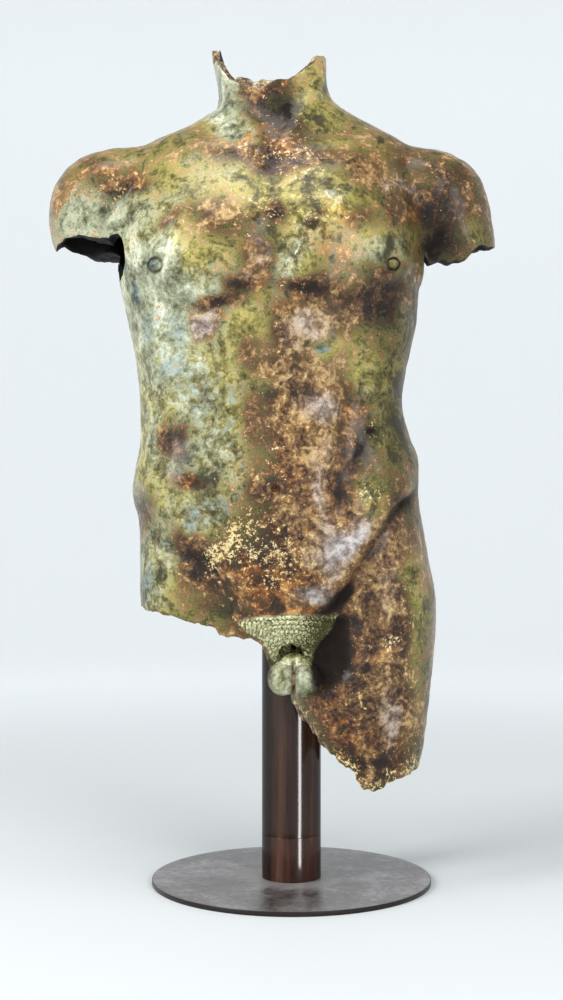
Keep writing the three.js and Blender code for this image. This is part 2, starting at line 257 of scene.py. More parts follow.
def levelCurve(levels, column, heights):
    # cubic through the levels; each slope is the harmonic mean of its neighbours, so nothing overshoots
    z = np.array([level[0] for level in levels], float)
    v = np.array([level[column] for level in levels], float)
    rise = np.diff(v) / np.diff(z)
    slopes = np.zeros_like(v)
    same = rise[:-1] * rise[1:] > 0
    safe = np.where(same, rise[:-1] + rise[1:], 1)
    slopes[1:-1] = np.where(same, 2 * rise[:-1] * rise[1:] / safe, 0)
    i = np.clip(np.searchsorted(z, heights) - 1, 0, len(z) - 2)
    span = z[i + 1] - z[i]
    t = np.clip((heights - z[i]) / span, 0, 1)
    return (
        v[i] * (1 + 2 * t) * (1 - t) ** 2
        + v[i + 1] * t * t * (3 - 2 * t)
        + slopes[i] * span * t * (1 - t) ** 2
        + slopes[i + 1] * span * t * t * (t - 1)
    )


def loftGrid(levels, around, up):
    # surface (angle, height): a superellipse at each height, flatter in front than behind
    heights = np.linspace(levels[0][0], levels[-1][0], up)
    right, left, front, back, side = (levelCurve(levels, c, heights)[:, None] for c in range(1, 6))
    angle = np.linspace(0, 2 * np.pi, around, endpoint=False)[None, :]
    across, depth = np.cos(angle), np.sin(angle)
    power = 2 / np.where(depth < 0, 2.5, 2.3)
    reach = np.where(depth < 0, side - front, back - side)
    x = (right + left) / 2 + (left - right) / 2 * np.sign(across) * np.abs(across) ** power
    y = side + reach * np.sign(depth) * np.abs(depth) ** power
    z = np.broadcast_to(heights[:, None], x.shape)
    return np.stack([x, y, z], -1)


def ballGrid(ball, around, up):
    # surface (angle, height) of an ellipsoid, without its two poles
    cx, cy, cz, wide, deep, high = ball
    tilt = np.linspace(-np.pi / 2, np.pi / 2, up + 2)[1:-1][:, None]
    angle = np.linspace(0, 2 * np.pi, around, endpoint=False)[None, :]
    x = cx + wide * np.cos(tilt) * np.cos(angle)
    y = cy + deep * np.cos(tilt) * np.sin(angle)
    z = np.broadcast_to(cz + high * np.sin(tilt), x.shape)
    return np.stack([x, y, z], -1)


def tubeFaces(up, around, start):
    # quads of a closed tube of rings, with one fan point below and one above
    ring, col = np.meshgrid(np.arange(up - 1), np.arange(around), indexing="ij")
    a = start + ring * around + col
    b = start + ring * around + (col + 1) % around
    quads = np.stack([a, b, b + around, a + around], -1).reshape(-1, 4)
    low, high = start + up * around, start + up * around + 1
    c = np.arange(around)
    n = (c + 1) % around
    top = start + (up - 1) * around
    caps = [(low, start + j, start + i) for i, j in zip(c, n)]
    caps += [(high, top + i, top + j) for i, j in zip(c, n)]
    return [tuple(q) for q in quads.tolist()] + caps


def meshOfGrids(name, grids):
    # closed tubes, each a grid of rings with the middle of its first and last ring as fan points
    points, faces = [], []
    start = 0
    for grid in grids:
        up, around = grid.shape[:2]
        ends = [grid[0].mean(0), grid[-1].mean(0)]
        points += [grid.reshape(-1, 3), np.array(ends)]
        faces += tubeFaces(up, around, start)
        start += up * around + 2
    return newPiece(name, np.concatenate(points), faces)


def newPiece(name, points, faces):
    mesh = bpy.data.meshes.new(name)
    mesh.from_pydata((points * mm).tolist(), [], faces)
    piece = bpy.data.objects.new(name, mesh)
    bpy.context.scene.collection.objects.link(piece)
    return piece


def bakeModifiers(piece):
    # replaces the mesh by what its modifiers make of it
    graph = bpy.context.evaluated_depsgraph_get()
    made = bpy.data.meshes.new_from_object(piece.evaluated_get(graph))
    old = piece.data
    piece.modifiers.clear()
    piece.data = made
    bpy.data.meshes.remove(old)


def remesh(piece, size):
    mod = piece.modifiers.new("melt", "REMESH")
    mod.mode = "VOXEL"
    mod.voxel_size = size * mm
    mod.adaptivity = 0
    bakeModifiers(piece)


def readPoints(mesh):
    points = np.empty(len(mesh.vertices) * 3)
    mesh.vertices.foreach_get("co", points)
    return points.reshape(-1, 3) / mm


def writePoints(mesh, points):
    mesh.vertices.foreach_set("co", (points * mm).ravel())
    mesh.update()


def readNormals(mesh):
    normals = np.empty(len(mesh.vertices) * 3)
    mesh.vertex_normals.foreach_get("vector", normals)
    return normals.reshape(-1, 3)


def relax(mesh, points, rounds, shrink=0.5, grow=-0.52):
    # Taubin smoothing: each round moves a point towards its neighbours' mean, then back a little further
    edges = np.empty(len(mesh.edges) * 2, int)
    mesh.edges.foreach_get("vertices", edges)
    a, b = edges[::2], edges[1::2]
    size = len(points)
    count = (np.bincount(a, minlength=size) + np.bincount(b, minlength=size))[:, None]
    for step in (shrink, grow) * rounds:
        if step == 0:
            continue
        sums = [np.bincount(a, points[b, k], size) + np.bincount(b, points[a, k], size) for k in range(3)]
        points = points + step * (np.stack(sums, -1) / count - points)
    return points


def chart(points):
    # front places, drawn on the middle plane of the body as the eye point sees them
    eyeX, eyeY, eyeZ = camera["place"]
    middle = -29
    scale = (middle - eyeY) / (points[:, 1] - eyeY)
    return eyeX + (points[:, 0] - eyeX) * scale, eyeZ + (points[:, 2] - eyeZ) * scale


def softStep(value, low, high):
    # from 0 at low to 1 at high: t * t * (3 - 2 * t)
    t = np.clip((value - low) / (high - low), 0, 1)
    return t * t * (3 - 2 * t)


def mound(u, v, place, size, turn=0.0, power=2.0):
    # bell over an ellipse, turned by degrees: exp(-(r ** power))
    c, s = np.cos(np.radians(turn)), np.sin(np.radians(turn))
    du, dv = u - place[0], v - place[1]
    r = np.hypot((du * c + dv * s) / size[0], (dv * c - du * s) / size[1])
    return np.exp(-(r**power))


def band(value, middle, width):
    # bell over one distance: exp(-((value - middle) / width) ** 2)
    return np.exp(-(((value - middle) / width) ** 2))


def smoothLine(places, count=60):
    # Catmull-Rom curve through the places
    p = np.array(places, float)
    p = np.vstack([2 * p[0] - p[1], p, 2 * p[-1] - p[-2]])
    t = np.linspace(0, len(p) - 3 - 1e-6, count)
    i = t.astype(int)
    f = (t - i)[:, None]
    a, b, c, d = p[i], p[i + 1], p[i + 2], p[i + 3]
    square, cube = 2 * a - 5 * b + 4 * c - d, 3 * b - a - 3 * c + d
    return 0.5 * (2 * b + (c - a) * f + square * f**2 + cube * f**3)


def lineField(u, v, places):
    # distance to a curve, signed to its left, and how far along it the nearest point lies (0 to 1)
    line = smoothLine(places)
    a, b = line[:-1], line[1:]
    best = np.full(len(u), 1e9)
    signed = np.zeros(len(u))
    along = np.zeros(len(u))
    for k in range(len(a)):
        du, dv = b[k] - a[k]
        length = du * du + dv * dv + 1e-9
        t = np.clip(((u - a[k, 0]) * du + (v - a[k, 1]) * dv) / length, 0, 1)
        ou, ov = u - a[k, 0] - t * du, v - a[k, 1] - t * dv
        far = ou * ou + ov * ov
        near = far < best
        best = np.where(near, far, best)
        signed = np.where(near, np.sign(du * ov - dv * ou), signed)
        along = np.where(near, (k + t) / len(a), along)
    return np.sqrt(best) * signed, along


def fadeEnds(along, ends):
    # rises over the first share of a curve and falls over the last
    return softStep(along, 0, ends) * (1 - softStep(along, 1 - ends, 1))


def groove(u, v, places, width, depth, ends=0.15):
    # a band sunk by the depth all along the curve, shallower towards its ends
    far, along = lineField(u, v, places)
    return -depth * band(far, 0, width) * fadeEnds(along, ends)


def ledge(u, v, places, width, lift, fall, ends=0.2):
    # a step up on the left of the curve that fades back to nothing over the fall distance
    far, along = lineField(u, v, places)
    step = lift * softStep(far, -width, width) * np.exp(-np.clip(far, 0, None) / fall)
    return step * fadeEnds(along, ends)


# Lines of the body on the front chart, and on the plane of the back.
bodyLines = {
    "rightBreast": [
        (-172, 676), (-158, 656), (-138, 640), (-113, 629), (-92, 623), (-70, 630), (-49, 639),
        (-36, 655),
    ],
    "leftBreast": [
        (-12, 655), (-5, 646), (10, 642), (30, 636), (46, 630), (67, 631), (88, 640), (110, 648),
        (127, 660), (140, 682),
    ],
    "breastbone": [(-24, 770), (-17, 735), (-21, 700), (-15, 665), (-19, 630)],
    "whiteLine": [(-18, 640), (-20, 590), (-22, 540), (-22, 495), (-19, 450), (-17, 428)],
    "rightRibArch": [(-128, 584), (-106, 574), (-84, 575), (-62, 586), (-44, 607)],
    "leftRibArch": [(-14, 600), (6, 582), (28, 572), (50, 568), (70, 578)],
    "leftBellyEdge": [(66, 560), (64, 517), (60, 475), (57, 432), (50, 392), (40, 352)],
    "rightBellyEdge": [(-92, 556), (-94, 510), (-90, 462), (-78, 410), (-62, 372)],
    "rightGroin": [(-170, 418), (-145, 385), (-118, 358), (-97, 342), (-71, 316), (-50, 299)],
    "leftGroin": [(42, 290), (54, 305), (67, 331), (83, 358), (99, 384), (115, 406), (140, 424)],
    "innerThigh": [(48, 300), (46, 280), (42, 258), (40, 236), (38, 205)],
    "rightNeckCord": [(-29, 780), (-48, 812), (-66, 850), (-76, 880)],
    "leftNeckCord": [(-16, 780), (6, 812), (26, 850), (34, 880)],
    "rightShoulderFold": [(-158, 778), (-172, 744), (-196, 716), (-199, 696), (-184, 676)],
    "leftShoulderFold": [(112, 778), (126, 746), (137, 724)],
    "leftArmpit": [(134, 736), (143, 706), (144, 684), (141, 660)],
    "spine": [(-20, 800), (-20, 700), (-20, 560), (-16, 440), (-9, 385)],
}


def frontRelief(u, v):
    # how far the skin lifts off the smooth masses, in mm: a sum of mounds, ledges and grooves
    d = 8 * mound(u, v, (-102, 688), (60, 46), 12, 2.6)  # breasts
    d += 8 * mound(u, v, (62, 690), (60, 46), -12, 2.6)
    d += ledge(u, v, bodyLines["rightBreast"], 8, 6.5, 40, 0.16)
    d += ledge(u, v, bodyLines["leftBreast"], 8, 7.5, 40, 0.14)
    d += groove(u, v, bodyLines["breastbone"], 13, 2.8)
    d += groove(u, v, bodyLines["whiteLine"], 10, 2.2)
    d += ledge(u, v, bodyLines["rightRibArch"], 9, 4.2, 42, 0.2)
    d += ledge(u, v, bodyLines["leftRibArch"], 9, 4.2, 42, 0.2)
    d += groove(u, v, bodyLines["leftBellyEdge"], 16, 3.8)
    d += groove(u, v, bodyLines["rightBellyEdge"], 14, 2.6)
    for height in (524, 474):
        d += groove(u, v, [(-84, height + 6), (-24, height - 2), (56, height + 5)], 8, 1.9)
    d += 3.0 * mound(u, v, (34, 498), (17, 84), 0, 2.6)
    for k in range(4):  # saw muscles on the ribs
        d += 2.4 * mound(u, v, (-152 + 6 * k, 612 - 28 * k), (20, 8), 28)
        d += 2.8 * mound(u, v, (112 - 5 * k, 612 - 28 * k), (20, 8), -28)
    d += 5 * mound(u, v, (-142, 436), (30, 26), 20)  # flank rolls over the hips
    d += 6 * mound(u, v, (108, 438), (28, 30), -24)
    d += 5.5 * mound(u, v, (-10, 366), (62, 48), 0, 2.4)  # belly
    d += ledge(u, v, bodyLines["rightGroin"], 12, 5.0, 46, 0.12)
    d += groove(u, v, bodyLines["rightGroin"], 13, 4.6, 0.1)
    d += ledge(u, v, bodyLines["leftGroin"], 8, 6.0, 46, 0.12)
    d += groove(u, v, bodyLines["leftGroin"], 6.5, 6.5, 0.08)
    d += 6 * mound(u, v, (-2, 284), (42, 26), 0, 2.6)  # pubic mound
    d += groove(u, v, bodyLines["innerThigh"], 22, 12, 0.3)
    d -= 6 * mound(u, v, (-24, 775), (15, 14))  # pit of the neck
    # collar bones, and the hollows above them
    d += 3.6 * mound(u, v, (-84, 788), (52, 8), -4, 2.4) + 3.6 * mound(u, v, (48, 787), (50, 8), 4, 2.4)
    d -= 3.0 * mound(u, v, (-92, 803), (26, 9), -10) + 3.0 * mound(u, v, (52, 802), (26, 9), 10)
    d -= groove(u, v, bodyLines["rightNeckCord"], 10, 5.0, 0.08)
    d -= groove(u, v, bodyLines["leftNeckCord"], 10, 4.2, 0.08)
    d += groove(u, v, bodyLines["rightShoulderFold"], 9, 4.4)
    d += groove(u, v, bodyLines["leftShoulderFold"], 12, 3.4)
    d += groove(u, v, bodyLines["leftArmpit"], 12, 5.0, 0.2)
    d -= 4.5 * mound(u, v, (163, 684), (15, 20), 0, 2.6)
    d += 4 * mound(u, v, (98, 262), (24, 84), -6)  # front thigh muscle
    d += groove(u, v, [(62, 330), (58, 270), (52, 215)], 14, 2.4)
    return d


def backRelief(x, z):
    # the same sum for the back, on its own plane
    d = groove(x, z, bodyLines["spine"], 15, 8.5, 0.12)
    d += 8 * mound(x, z, (-104, 688), (44, 56), -14, 2.6) + 8 * mound(x, z, (64, 688), (44, 56), 14, 2.6)
    d += groove(x, z, [(-56, 742), (-66, 690), (-84, 640)], 9, 3.2)  # shoulder blades
    d += groove(x, z, [(16, 742), (26, 690), (44, 640)], 9, 3.2)
    d += 4 * mound(x, z, (-150, 615), (26, 60), -8) + 4 * mound(x, z, (106, 615), (26, 60), 8)
    d += 5 * mound(x, z, (-47, 490), (19, 84)) + 5 * mound(x, z, (10, 490), (19, 84))  # loin columns
    d -= 3 * mound(x, z, (-46, 412), (9, 9)) + 3 * mound(x, z, (22, 412), (9, 9))  # sacral dimples
    d += groove(x, z, [(-9, 392), (-5, 340), (-3, 270)], 9, 16, 0.15)  # cleft
    d += groove(x, z, [(6, 226), (52, 213), (112, 224)], 8, 5.5, 0.2)  # fold under the buttock
    d += groove(x, z, [(-66, 790), (-110, 752), (-168, 742)], 9, 2.2)
    d += groove(x, z, [(26, 790), (70, 752), (126, 742)], 9, 2.2)
    return d


def bodyGrids(detail, mouths):
    # every mass of the body as one closed grid; detail scales how many rings and columns
    arms = [torso["rightArm"], torso["leftArm"]]
    if mouths:
        arms = [torso["rightArmMouth"] + arms[0][2:], torso["leftArmMouth"] + arms[1][2:]]
    masses = [(torso["trunk"], 220, 230), (arms[0], 110, 60), (arms[1], 110, 60)]
    masses += [(torso["rightThigh"], 120, 60), (torso["leftThigh"], 120, 110)]
    grids = [loftGrid(levels, int(around * detail), int(up * detail)) for levels, around, up in masses]
    return grids + [ballGrid(ball, int(90 * detail), int(60 * detail)) for ball in torso["buttocks"]]


def raiseForms(mesh, points):
    # each point moves along its normal by the relief of the side that it faces
    writePoints(mesh, points)
    normals = readNormals(mesh)
    facing = normals[:, 1]
    u, v = chart(points)
    lift = frontRelief(u, v) * softStep(-facing, 0.05, 0.6)
    lift += backRelief(points[:, 0], points[:, 2]) * softStep(facing, 0.05, 0.6)
    return points + normals * lift[:, None]


lattice = np.random.default_rng(11).random((32, 32, 32))


def grain(points, size, shift=0.0):
    # value noise: random numbers on a lattice of the given size (mm), smoothed between, from -1 to 1
    p = points / size + shift
    i = np.floor(p).astype(int)
    f = p - i
    f = f * f * (3 - 2 * f)
    total = np.zeros(len(p))
    for corner in np.ndindex(2, 2, 2):
        j = (i + corner) % 32
        share = np.prod(np.where(corner, f, 1 - f), axis=1)
        total += share * lattice[j[:, 0], j[:, 1], j[:, 2]]
    return 2 * total - 1


def castUnevenness(points):
    # the skin is never quite true: wax modelling 26 mm across, corrosion 11 mm and 5 mm across
    return 0.7 * grain(points, 26) + 0.5 * grain(points, 11, 3) + 0.35 * grain(points, 5.2, 7)


def sculptSkin():
    skin = meshOfGrids("torso_casting", bodyGrids(1, False))
    remesh(skin, torso["voxel"])
    mesh = skin.data
    points = relax(mesh, readPoints(mesh), torso["blend"], 0.6, 0)
    points = relax(mesh, points, 8)
    points = relax(mesh, raiseForms(mesh, points), 3)
    writePoints(mesh, points)
    writePoints(mesh, points + readNormals(mesh) * castUnevenness(points)[:, None])
    carveDetails(mesh)
    print("skin:", len(mesh.vertices), "points")
    return skin


def sculptHollow():
    # the same masses, set in by the wall along their own normals
    hollow = meshOfGrids("hollow", bodyGrids(0.45, True))
    size = torso["hollowVoxel"]
    remesh(hollow, size)
    mesh = hollow.data
    rounds = int(torso["blend"] * (torso["voxel"] / size) ** 2)
    points = relax(mesh, readPoints(mesh), rounds, 0.6, 0)
    points = raiseForms(mesh, points)
    writePoints(mesh, points)
    rough = 0.6 * grain(points, 16) + 0.3 * grain(points, 7, 3)
    points = points - readNormals(mesh) * (torso["wall"] + rough)[:, None]
    writePoints(mesh, relax(mesh, points, 2))
    print("hollow:", len(mesh.vertices), "points")
    return hollow


# Small things cast in the skin; places are on the front chart.
details = {
    "hairTop": [(-60, 281), (-39, 287), (-2, 289.5), (49, 289.5)],
    # height, right edge, left edge of the patch of hair
    "hairSides": [
        (239, -19, 22), (241, -21, 23), (250, -25, 24), (262, -31, 32), (271, -49, 41), (282, -60, 46),
        (290, -60, 49),
    ],
    "hairFoot": 236,
    "curl": 4.9,  # spacing of the curls
    "stump": (-1, 252),  # where the arch of the broken stump is centred
    "nipples": [(-145, 660.5, 6.6), (108.3, 661.5, 5.6)],  # place and radius
    "navel": (-16.6, 423),
}


def refine(mesh, wanted, cuts):
    # splits the faces around the wanted points, so small forms have points to stand on
    work = bmesh.new()
    work.from_mesh(mesh)
    work.verts.ensure_lookup_table()
    edges = [e for e in work.edges if wanted[e.verts[0].index] and wanted[e.verts[1].index]]
    bmesh.ops.subdivide_edges(work, edges=edges, cuts=cuts, use_grid_fill=True)
    bmesh.ops.triangulate(work, faces=[f for f in work.faces if len(f.verts) > 4])
    work.to_mesh(mesh)
    work.free()


def hairMask(u, v):
    heights = [s[0] for s in details["hairSides"]]
    right = np.interp(v, heights, [s[1] for s in details["hairSides"]])
    left = np.interp(v, heights, [s[2] for s in details["hairSides"]])
    top = np.interp(u, [p[0] for p in details["hairTop"]], [p[1] for p in details["hairTop"]])
    mask = softStep(u - right, -0.5, 1.6) * softStep(left - u, -0.5, 1.6) * softStep(top - v, -0.5, 1.6)
    return mask * (v > details["hairFoot"])


def hairCurls(u, v):
    # rows of small snail curls: the rows lie flat at the top and arch over the stump below; each curl is
    # the dome (1 - (r / 0.56) ** 2) ** 0.6 with a spiral cut into it
    pitch = details["curl"]
    across = u - details["stump"][0]
    row = (v + (1 - softStep(v, 254, 288)) * across**2 / 70) / pitch
    k = np.floor(row)
    p = u / pitch + 0.5 * (k % 2)
    dx, dy = p - np.floor(p) - 0.5, row - k - 0.5
    r = np.hypot(dx, dy)
    body = np.clip(1 - (r / 0.56) ** 2, 0, 1) ** 0.6
    spiral = 0.78 + 0.3 * np.cos(np.arctan2(dy, dx) - 9 * r + 1.7 * k)
    return body * spiral


def stumpPit(u, v, inner, outer):
    # the small hole in the left of the stump: 1 within one radius, 0 past the other
    stumpU, stumpV = details["stump"]
    return 1 - softStep(np.hypot(u - stumpU - 3.5, v - stumpV + 2.5), inner, outer)


def carveDetails(mesh):
    points = readPoints(mesh)
    u, v = chart(points)
    front = readNormals(mesh)[:, 1] < -0.15
    near = (hairMask(u, v) > 0) | (mound(u, v, details["stump"], (20, 17), 0, 8) > 0.4)
    near |= mound(u, v, details["navel"], (13, 13), 0, 8) > 0.4
    for nu, nv, radius in details["nipples"]:
        near |= mound(u, v, (nu, nv), (2.4 * radius, 2.4 * radius), 0, 8) > 0.4
    refine(mesh, near & front, 3)
    points = readPoints(mesh)
    normals = readNormals(mesh)
    u, v = chart(points)
    stumpU, stumpV = details["stump"]
    # the stump: an arched hollow under the lowest curls, with a small pit in it
    r = np.hypot((u - stumpU) / 14.5, (v - stumpV + 5) / 14)
    arch = (1 - softStep(r, 0.8, 1.0)) * softStep(v, stumpV - 15, stumpV - 11)
    hair = hairMask(u, v) * (1 - arch)
    d = hair * (1.0 + 2.9 * hairCurls(u, v))
    d -= 5.5 * arch + 3.2 * stumpPit(u, v, 1.6, 3.6) - 2.2 * grain(points, 5.0, 2) * arch
    # nipples: a low button in a ringed pit
    for nu, nv, radius in details["nipples"]:
        r = np.hypot(u - nu, v - nv) / radius
        d += 3.0 * (1 - softStep(r, 0.2, 1.05)) - 1.9 * band(r, 1.12, 0.24)
    # navel: a small pit with a raised rim
    nu, nv = details["navel"]
    r = np.hypot((u - nu) / 5.2, (v - nv) / 4.6)
    d += 1.5 * band(r, 1.1, 0.3) - 4.6 * band(r, 0, 0.75)
    d = np.where(normals[:, 1] < 0, d, 0)
    writePoints(mesh, points + normals * d[:, None])


# Where the casting is broken, in millimetres.
breaks = {
    "step": 1.9,  # spacing of the points on a torn face
    # neck rim: turn about the neck in degrees (0 left, -90 front, 90 back), height of the inner
    # lip, and how much lower the outer lip lies
    "neckAxis": (-20, -15),
    "neckRim": [
        (-180, 872, 3), (-174, 866, 3), (-168, 876, 4), (-156, 878, 5), (-143, 875.5, 12),
        (-135, 868, 16), (-133, 860, 12), (-125, 855.5, 11), (-117, 848.5, 9), (-111, 845, 9),
        (-103, 846.5, 12), (-96, 846, 8), (-87, 846, 2), (-75, 847, 1), (-67, 851, 1), (-58, 858, 1),
        (-49, 866, 1), (-38, 876, 1), (-27, 879.5, 1), (-5, 879, 2), (20, 872, 3), (45, 861, 3),
        (75, 855, 3), (110, 853, 3), (135, 859, 3), (148, 866, 3), (156, 884, 2), (163, 896, 1),
        (168, 897, 1), (174, 889, 2), (178, 878, 3),
    ],
    # arm breaks: place across and height, along the front and along the back
    "rightArmFront": [
        (-270, 676), (-252, 676), (-248, 672), (-244, 677), (-240, 679), (-232, 682), (-218, 683.5),
        (-207, 681.5), (-198, 681), (-189, 680.5), (-184, 674), (-176, 663), (-169, 654), (-150, 650),
    ],
    "rightArmBack": [
        (-262, 690), (-249, 688), (-238, 681), (-225, 679), (-216, 673.5), (-205, 672), (-150, 672),
    ],
    "armSlot": (-181, -64, 663, 15, 37, 24),  # middle, then half width, depth and height
    "leftArmFront": [
        (100, 668), (132, 668), (137.5, 664), (143, 656), (148, 658), (154.5, 660.5), (159, 658),
        (163, 656.5), (169, 659), (173, 658), (180, 660), (187, 668), (194.5, 675), (209, 674),
        (213, 676), (220, 680),
    ],
    "leftArmBack": [(100, 686), (140, 682), (170, 685), (200, 681), (222, 684)],
    # hip and thigh: the edge of the front skin, and the higher edge behind it that lets the post in
    "hipFront": [
        (-175, 304), (-157, 300), (-149, 297), (-140, 297.5), (-131, 295), (-118.5, 292.5), (-108, 288.5),
        (-98, 286.5), (-89, 285), (-78, 282), (-74, 274.5), (-66, 272), (-58, 273), (-50, 269.5),
        (-42, 270), (-35, 267), (-30, 262), (-26, 250), (-22, 236), (-12, 222), (-3, 210), (1, 197),
        (8, 187.5), (18, 179.5), (22, 170), (25.5, 166), (27.5, 159.5), (32, 158), (36, 156.5), (38, 151),
        (43, 150), (46, 143.5), (50, 143), (55, 140), (59, 139), (63.5, 134.5), (65, 127), (69, 122),
        (72, 117), (77.5, 115.5), (82, 113), (88, 113.5), (94, 117), (97, 121), (103, 121.5), (107, 125),
        (113, 125.5), (118, 128.5), (124, 129), (127, 137), (134, 138), (140, 142), (165, 146),
    ],
    "hipBehind": [
        (-175, 303), (-150, 299), (-120, 293), (-95, 289), (-70, 291), (-40, 289), (0, 296), (30, 290),
        (40, 262), (46, 220), (52, 180), (60, 148), (72, 126), (86, 119), (110, 124), (132, 132),
        (165, 146),
    ],
    # how deep the front skin lies along that edge
    "hipSkin": [(-30, -98), (-6, -60), (3, -62), (15, -82), (30, -95), (60, -103), (165, -103)],
    "hipLean": (18, 8),  # where the torn face leans forward, and by how much
    # the block that each break takes away: two corners, and the level where it ends
    "neckBlock": ((-112, -100), (62, 82), 945),
    "rightArmBlock": ((-275, -100), (-184, 70), 600),
    "leftArmBlock": ((137, -100), (228, 70), 560),
    "hipBlock": ((-180, -165), (170, 140), 58),
    "crumb": 1000,  # a loose piece with fewer points than this is swept away
}


def edgeHeight(edge, across):
    return np.interp(across, [p[0] for p in edge], [p[1] for p in edge])


def breakGrid(low, high):
    # the (x, y) grid of a broken face, between two corners in mm
    count = [int((high[k] - low[k]) / breaks["step"]) + 1 for k in (0, 1)]
    return np.meshgrid(*(np.linspace(low[k], high[k], count[k]) for k in (0, 1)), indexing="ij")


def ragged(x, y, z, rough):
    # bites of 9 mm and 4 mm across, as cast metal tears, with a sharper nick here and there
    p = np.stack([x, y, z * 0], -1).reshape(-1, 3)
    bites = 1.3 * grain(p, 9) + 0.9 * grain(p, 4.1, 5) + 2.4 * softStep(grain(p, 6.3, 8), 0.25, 0.6)
    return z + rough * bites.reshape(z.shape)


def blockOf(name, x, y, z, farZ):
    # closed block between the broken face z(x, y) and the flat level farZ
    nx, ny = z.shape
    near = np.stack([x, y, z], -1).reshape(-1, 3)
    far = np.stack([x, y, np.full_like(z, farZ)], -1).reshape(-1, 3)
    i, j = np.meshgrid(np.arange(nx - 1), np.arange(ny - 1), indexing="ij")
    a = (i * ny + j).ravel()
    face = np.stack([a, a + ny, a + ny + 1, a + 1], -1)
    rim = np.concatenate([
        np.arange(nx) * ny,
        (nx - 1) * ny + np.arange(1, ny),
        np.arange(nx - 2, -1, -1) * ny + ny - 1,
        np.arange(ny - 2, 0, -1),
    ])
    following = np.roll(rim, -1)
    total = nx * ny
    side = np.stack([rim, following, following + total, rim + total], -1)
    faces = np.concatenate([face, (face + total)[:, ::-1], side[:, ::-1]])
    block = newPiece(name, np.concatenate([near, far]), faces.tolist())
    faceOut(block.data)
    return block


def faceOut(mesh):
    # recalculates which way the faces of a closed mesh point
    work = bmesh.new()
    work.from_mesh(mesh)
    bmesh.ops.recalc_face_normals(work, faces=work.faces)
    work.to_mesh(mesh)
    work.free()


def neckBreak():
    # torn face: the inner lip's height round the neck, dropping to the outer lip near the skin
    low, high, end = breaks["neckBlock"]
    x, y = breakGrid(low, high)
    axisX, axisY = breaks["neckAxis"]
    turn = np.degrees(np.arctan2(y - axisY, x - axisX))
    rim = np.array(breaks["neckRim"], float)
    inner = np.interp(turn, rim[:, 0], rim[:, 1], period=360)
    drop = np.interp(turn, rim[:, 0], rim[:, 2], period=360)
    out = np.hypot((x - axisX) / 59, (y - axisY) / 61)
    z = inner - drop * softStep(out, 0.87, 0.99)
    return blockOf("neck_break", x, y, ragged(x, y, z, 0.45), end)


def armBreak(side):
    # torn face: runs from the edge in front to the edge behind
    low, high, end = breaks[side + "ArmBlock"]
    x, y = breakGrid(low, high)
    behind = softStep(y, -50, 20)
    front, back = (edgeHeight(breaks[side + edge], x) for edge in ("ArmFront", "ArmBack"))
    z = front * (1 - behind) + back * behind
    return blockOf(side + "_arm_break", x, y, ragged(x, y, z, 0.5), end)


def armSlot():
    # where the break of the right arm runs on down the side of the chest: a ball with a torn skin
    slot = meshOfGrids("arm_slot", [ballGrid(breaks["armSlot"], 48, 32)])
    points = readPoints(slot.data)
    writePoints(slot.data, points + 1.2 * grain(points, 6)[:, None] * readNormals(slot.data))
    return slot


def hipBreak():
    low, high, end = breaks["hipBlock"]
    x, y = breakGrid(low, high)
    skin = edgeHeight(breaks["hipSkin"], x)
    behind = softStep(y - skin, 12, 46)
    z = edgeHeight(breaks["hipFront"], x) * (1 - behind) + edgeHeight(breaks["hipBehind"], x) * behind
    # on the inside of the thigh the torn face leans forward, and the edge down to the tip is the roughest
    lean, height = breaks["hipLean"]
    z = z + height * (1 - softStep(y - skin, 0, 9)) * mound(x, 0 * x, (lean, 0), (19, 1), 0, 4)
    rough = 0.8 + 1.3 * softStep(x, -10, 12) * (1 - softStep(x, 66, 90))
    return blockOf("hip_break", x, y, ragged(x, y, z, rough), end)


def combine(piece, other, operation):
    mod = piece.modifiers.new("join", "BOOLEAN")
    mod.object = other
    mod.operation = operation
    mod.solver = "MANIFOLD"
    mod.material_mode = "TRANSFER"
    bakeModifiers(piece)
    bpy.data.objects.remove(other)


def dropCrumbs(mesh):
    # the cuts leave a few loose slivers of a point or four; only the casting itself is kept
    work = bmesh.new()
    work.from_mesh(mesh)
    left = set(work.verts)
    crumbs = []
    while left:
        front = {left.pop()}
        island = set(front)
        while front:
            front = {e.other_vert(v) for v in front for e in v.link_edges} - island
            island |= front
        left -= island
        if len(island) < breaks["crumb"]:
            crumbs += island
    bmesh.ops.delete(work, geom=crumbs, context="VERTS")
    work.to_mesh(mesh)
    work.free()


scrotum = {
    # lobes: place of the middle, then half width, depth and height (mm)
    "lobes": [
        (-9.5, -102, 230, 15.8, 17, 18),
        (13.4, -102, 228.5, 15.6, 18, 20.5),
        (1.8, -98, 242, 15, 13, 14),
    ],
    "voxel": 1.6,
    "seam": (1.5, 2.4),  # where it runs, and how deep
}


def sculptScrotum():
    piece = meshOfGrids("scrotum", [ballGrid(lobe, 60, 40) for lobe in scrotum["lobes"]])
    remesh(piece, scrotum["voxel"])
    mesh = piece.data
    points = relax(mesh, readPoints(mesh), 10, 0.6, 0)
    x, y = points[:, 0], points[:, 1]
    seam, deep = scrotum["seam"]
    points[:, 1] += deep * band(x, seam, 2.6) * softStep(-y, 88, 104)
    points[:, 1] += 0.5 * grain(points, 7, 4) + 0.25 * grain(points, 3.4, 2)
    writePoints(mesh, relax(mesh, points, 1))
    return piece


def nodeSize(node):
    # radius, underside and top of an upright round node, in mm
    low, high = (np.array(corner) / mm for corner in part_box(node))
    return (high[0] - low[0]) / 2, low[2], high[2]


postRadius, postBottom, postTop = nodeSize("post")
plateRadius, floorLevel, plateTop = nodeSize("base_plate")
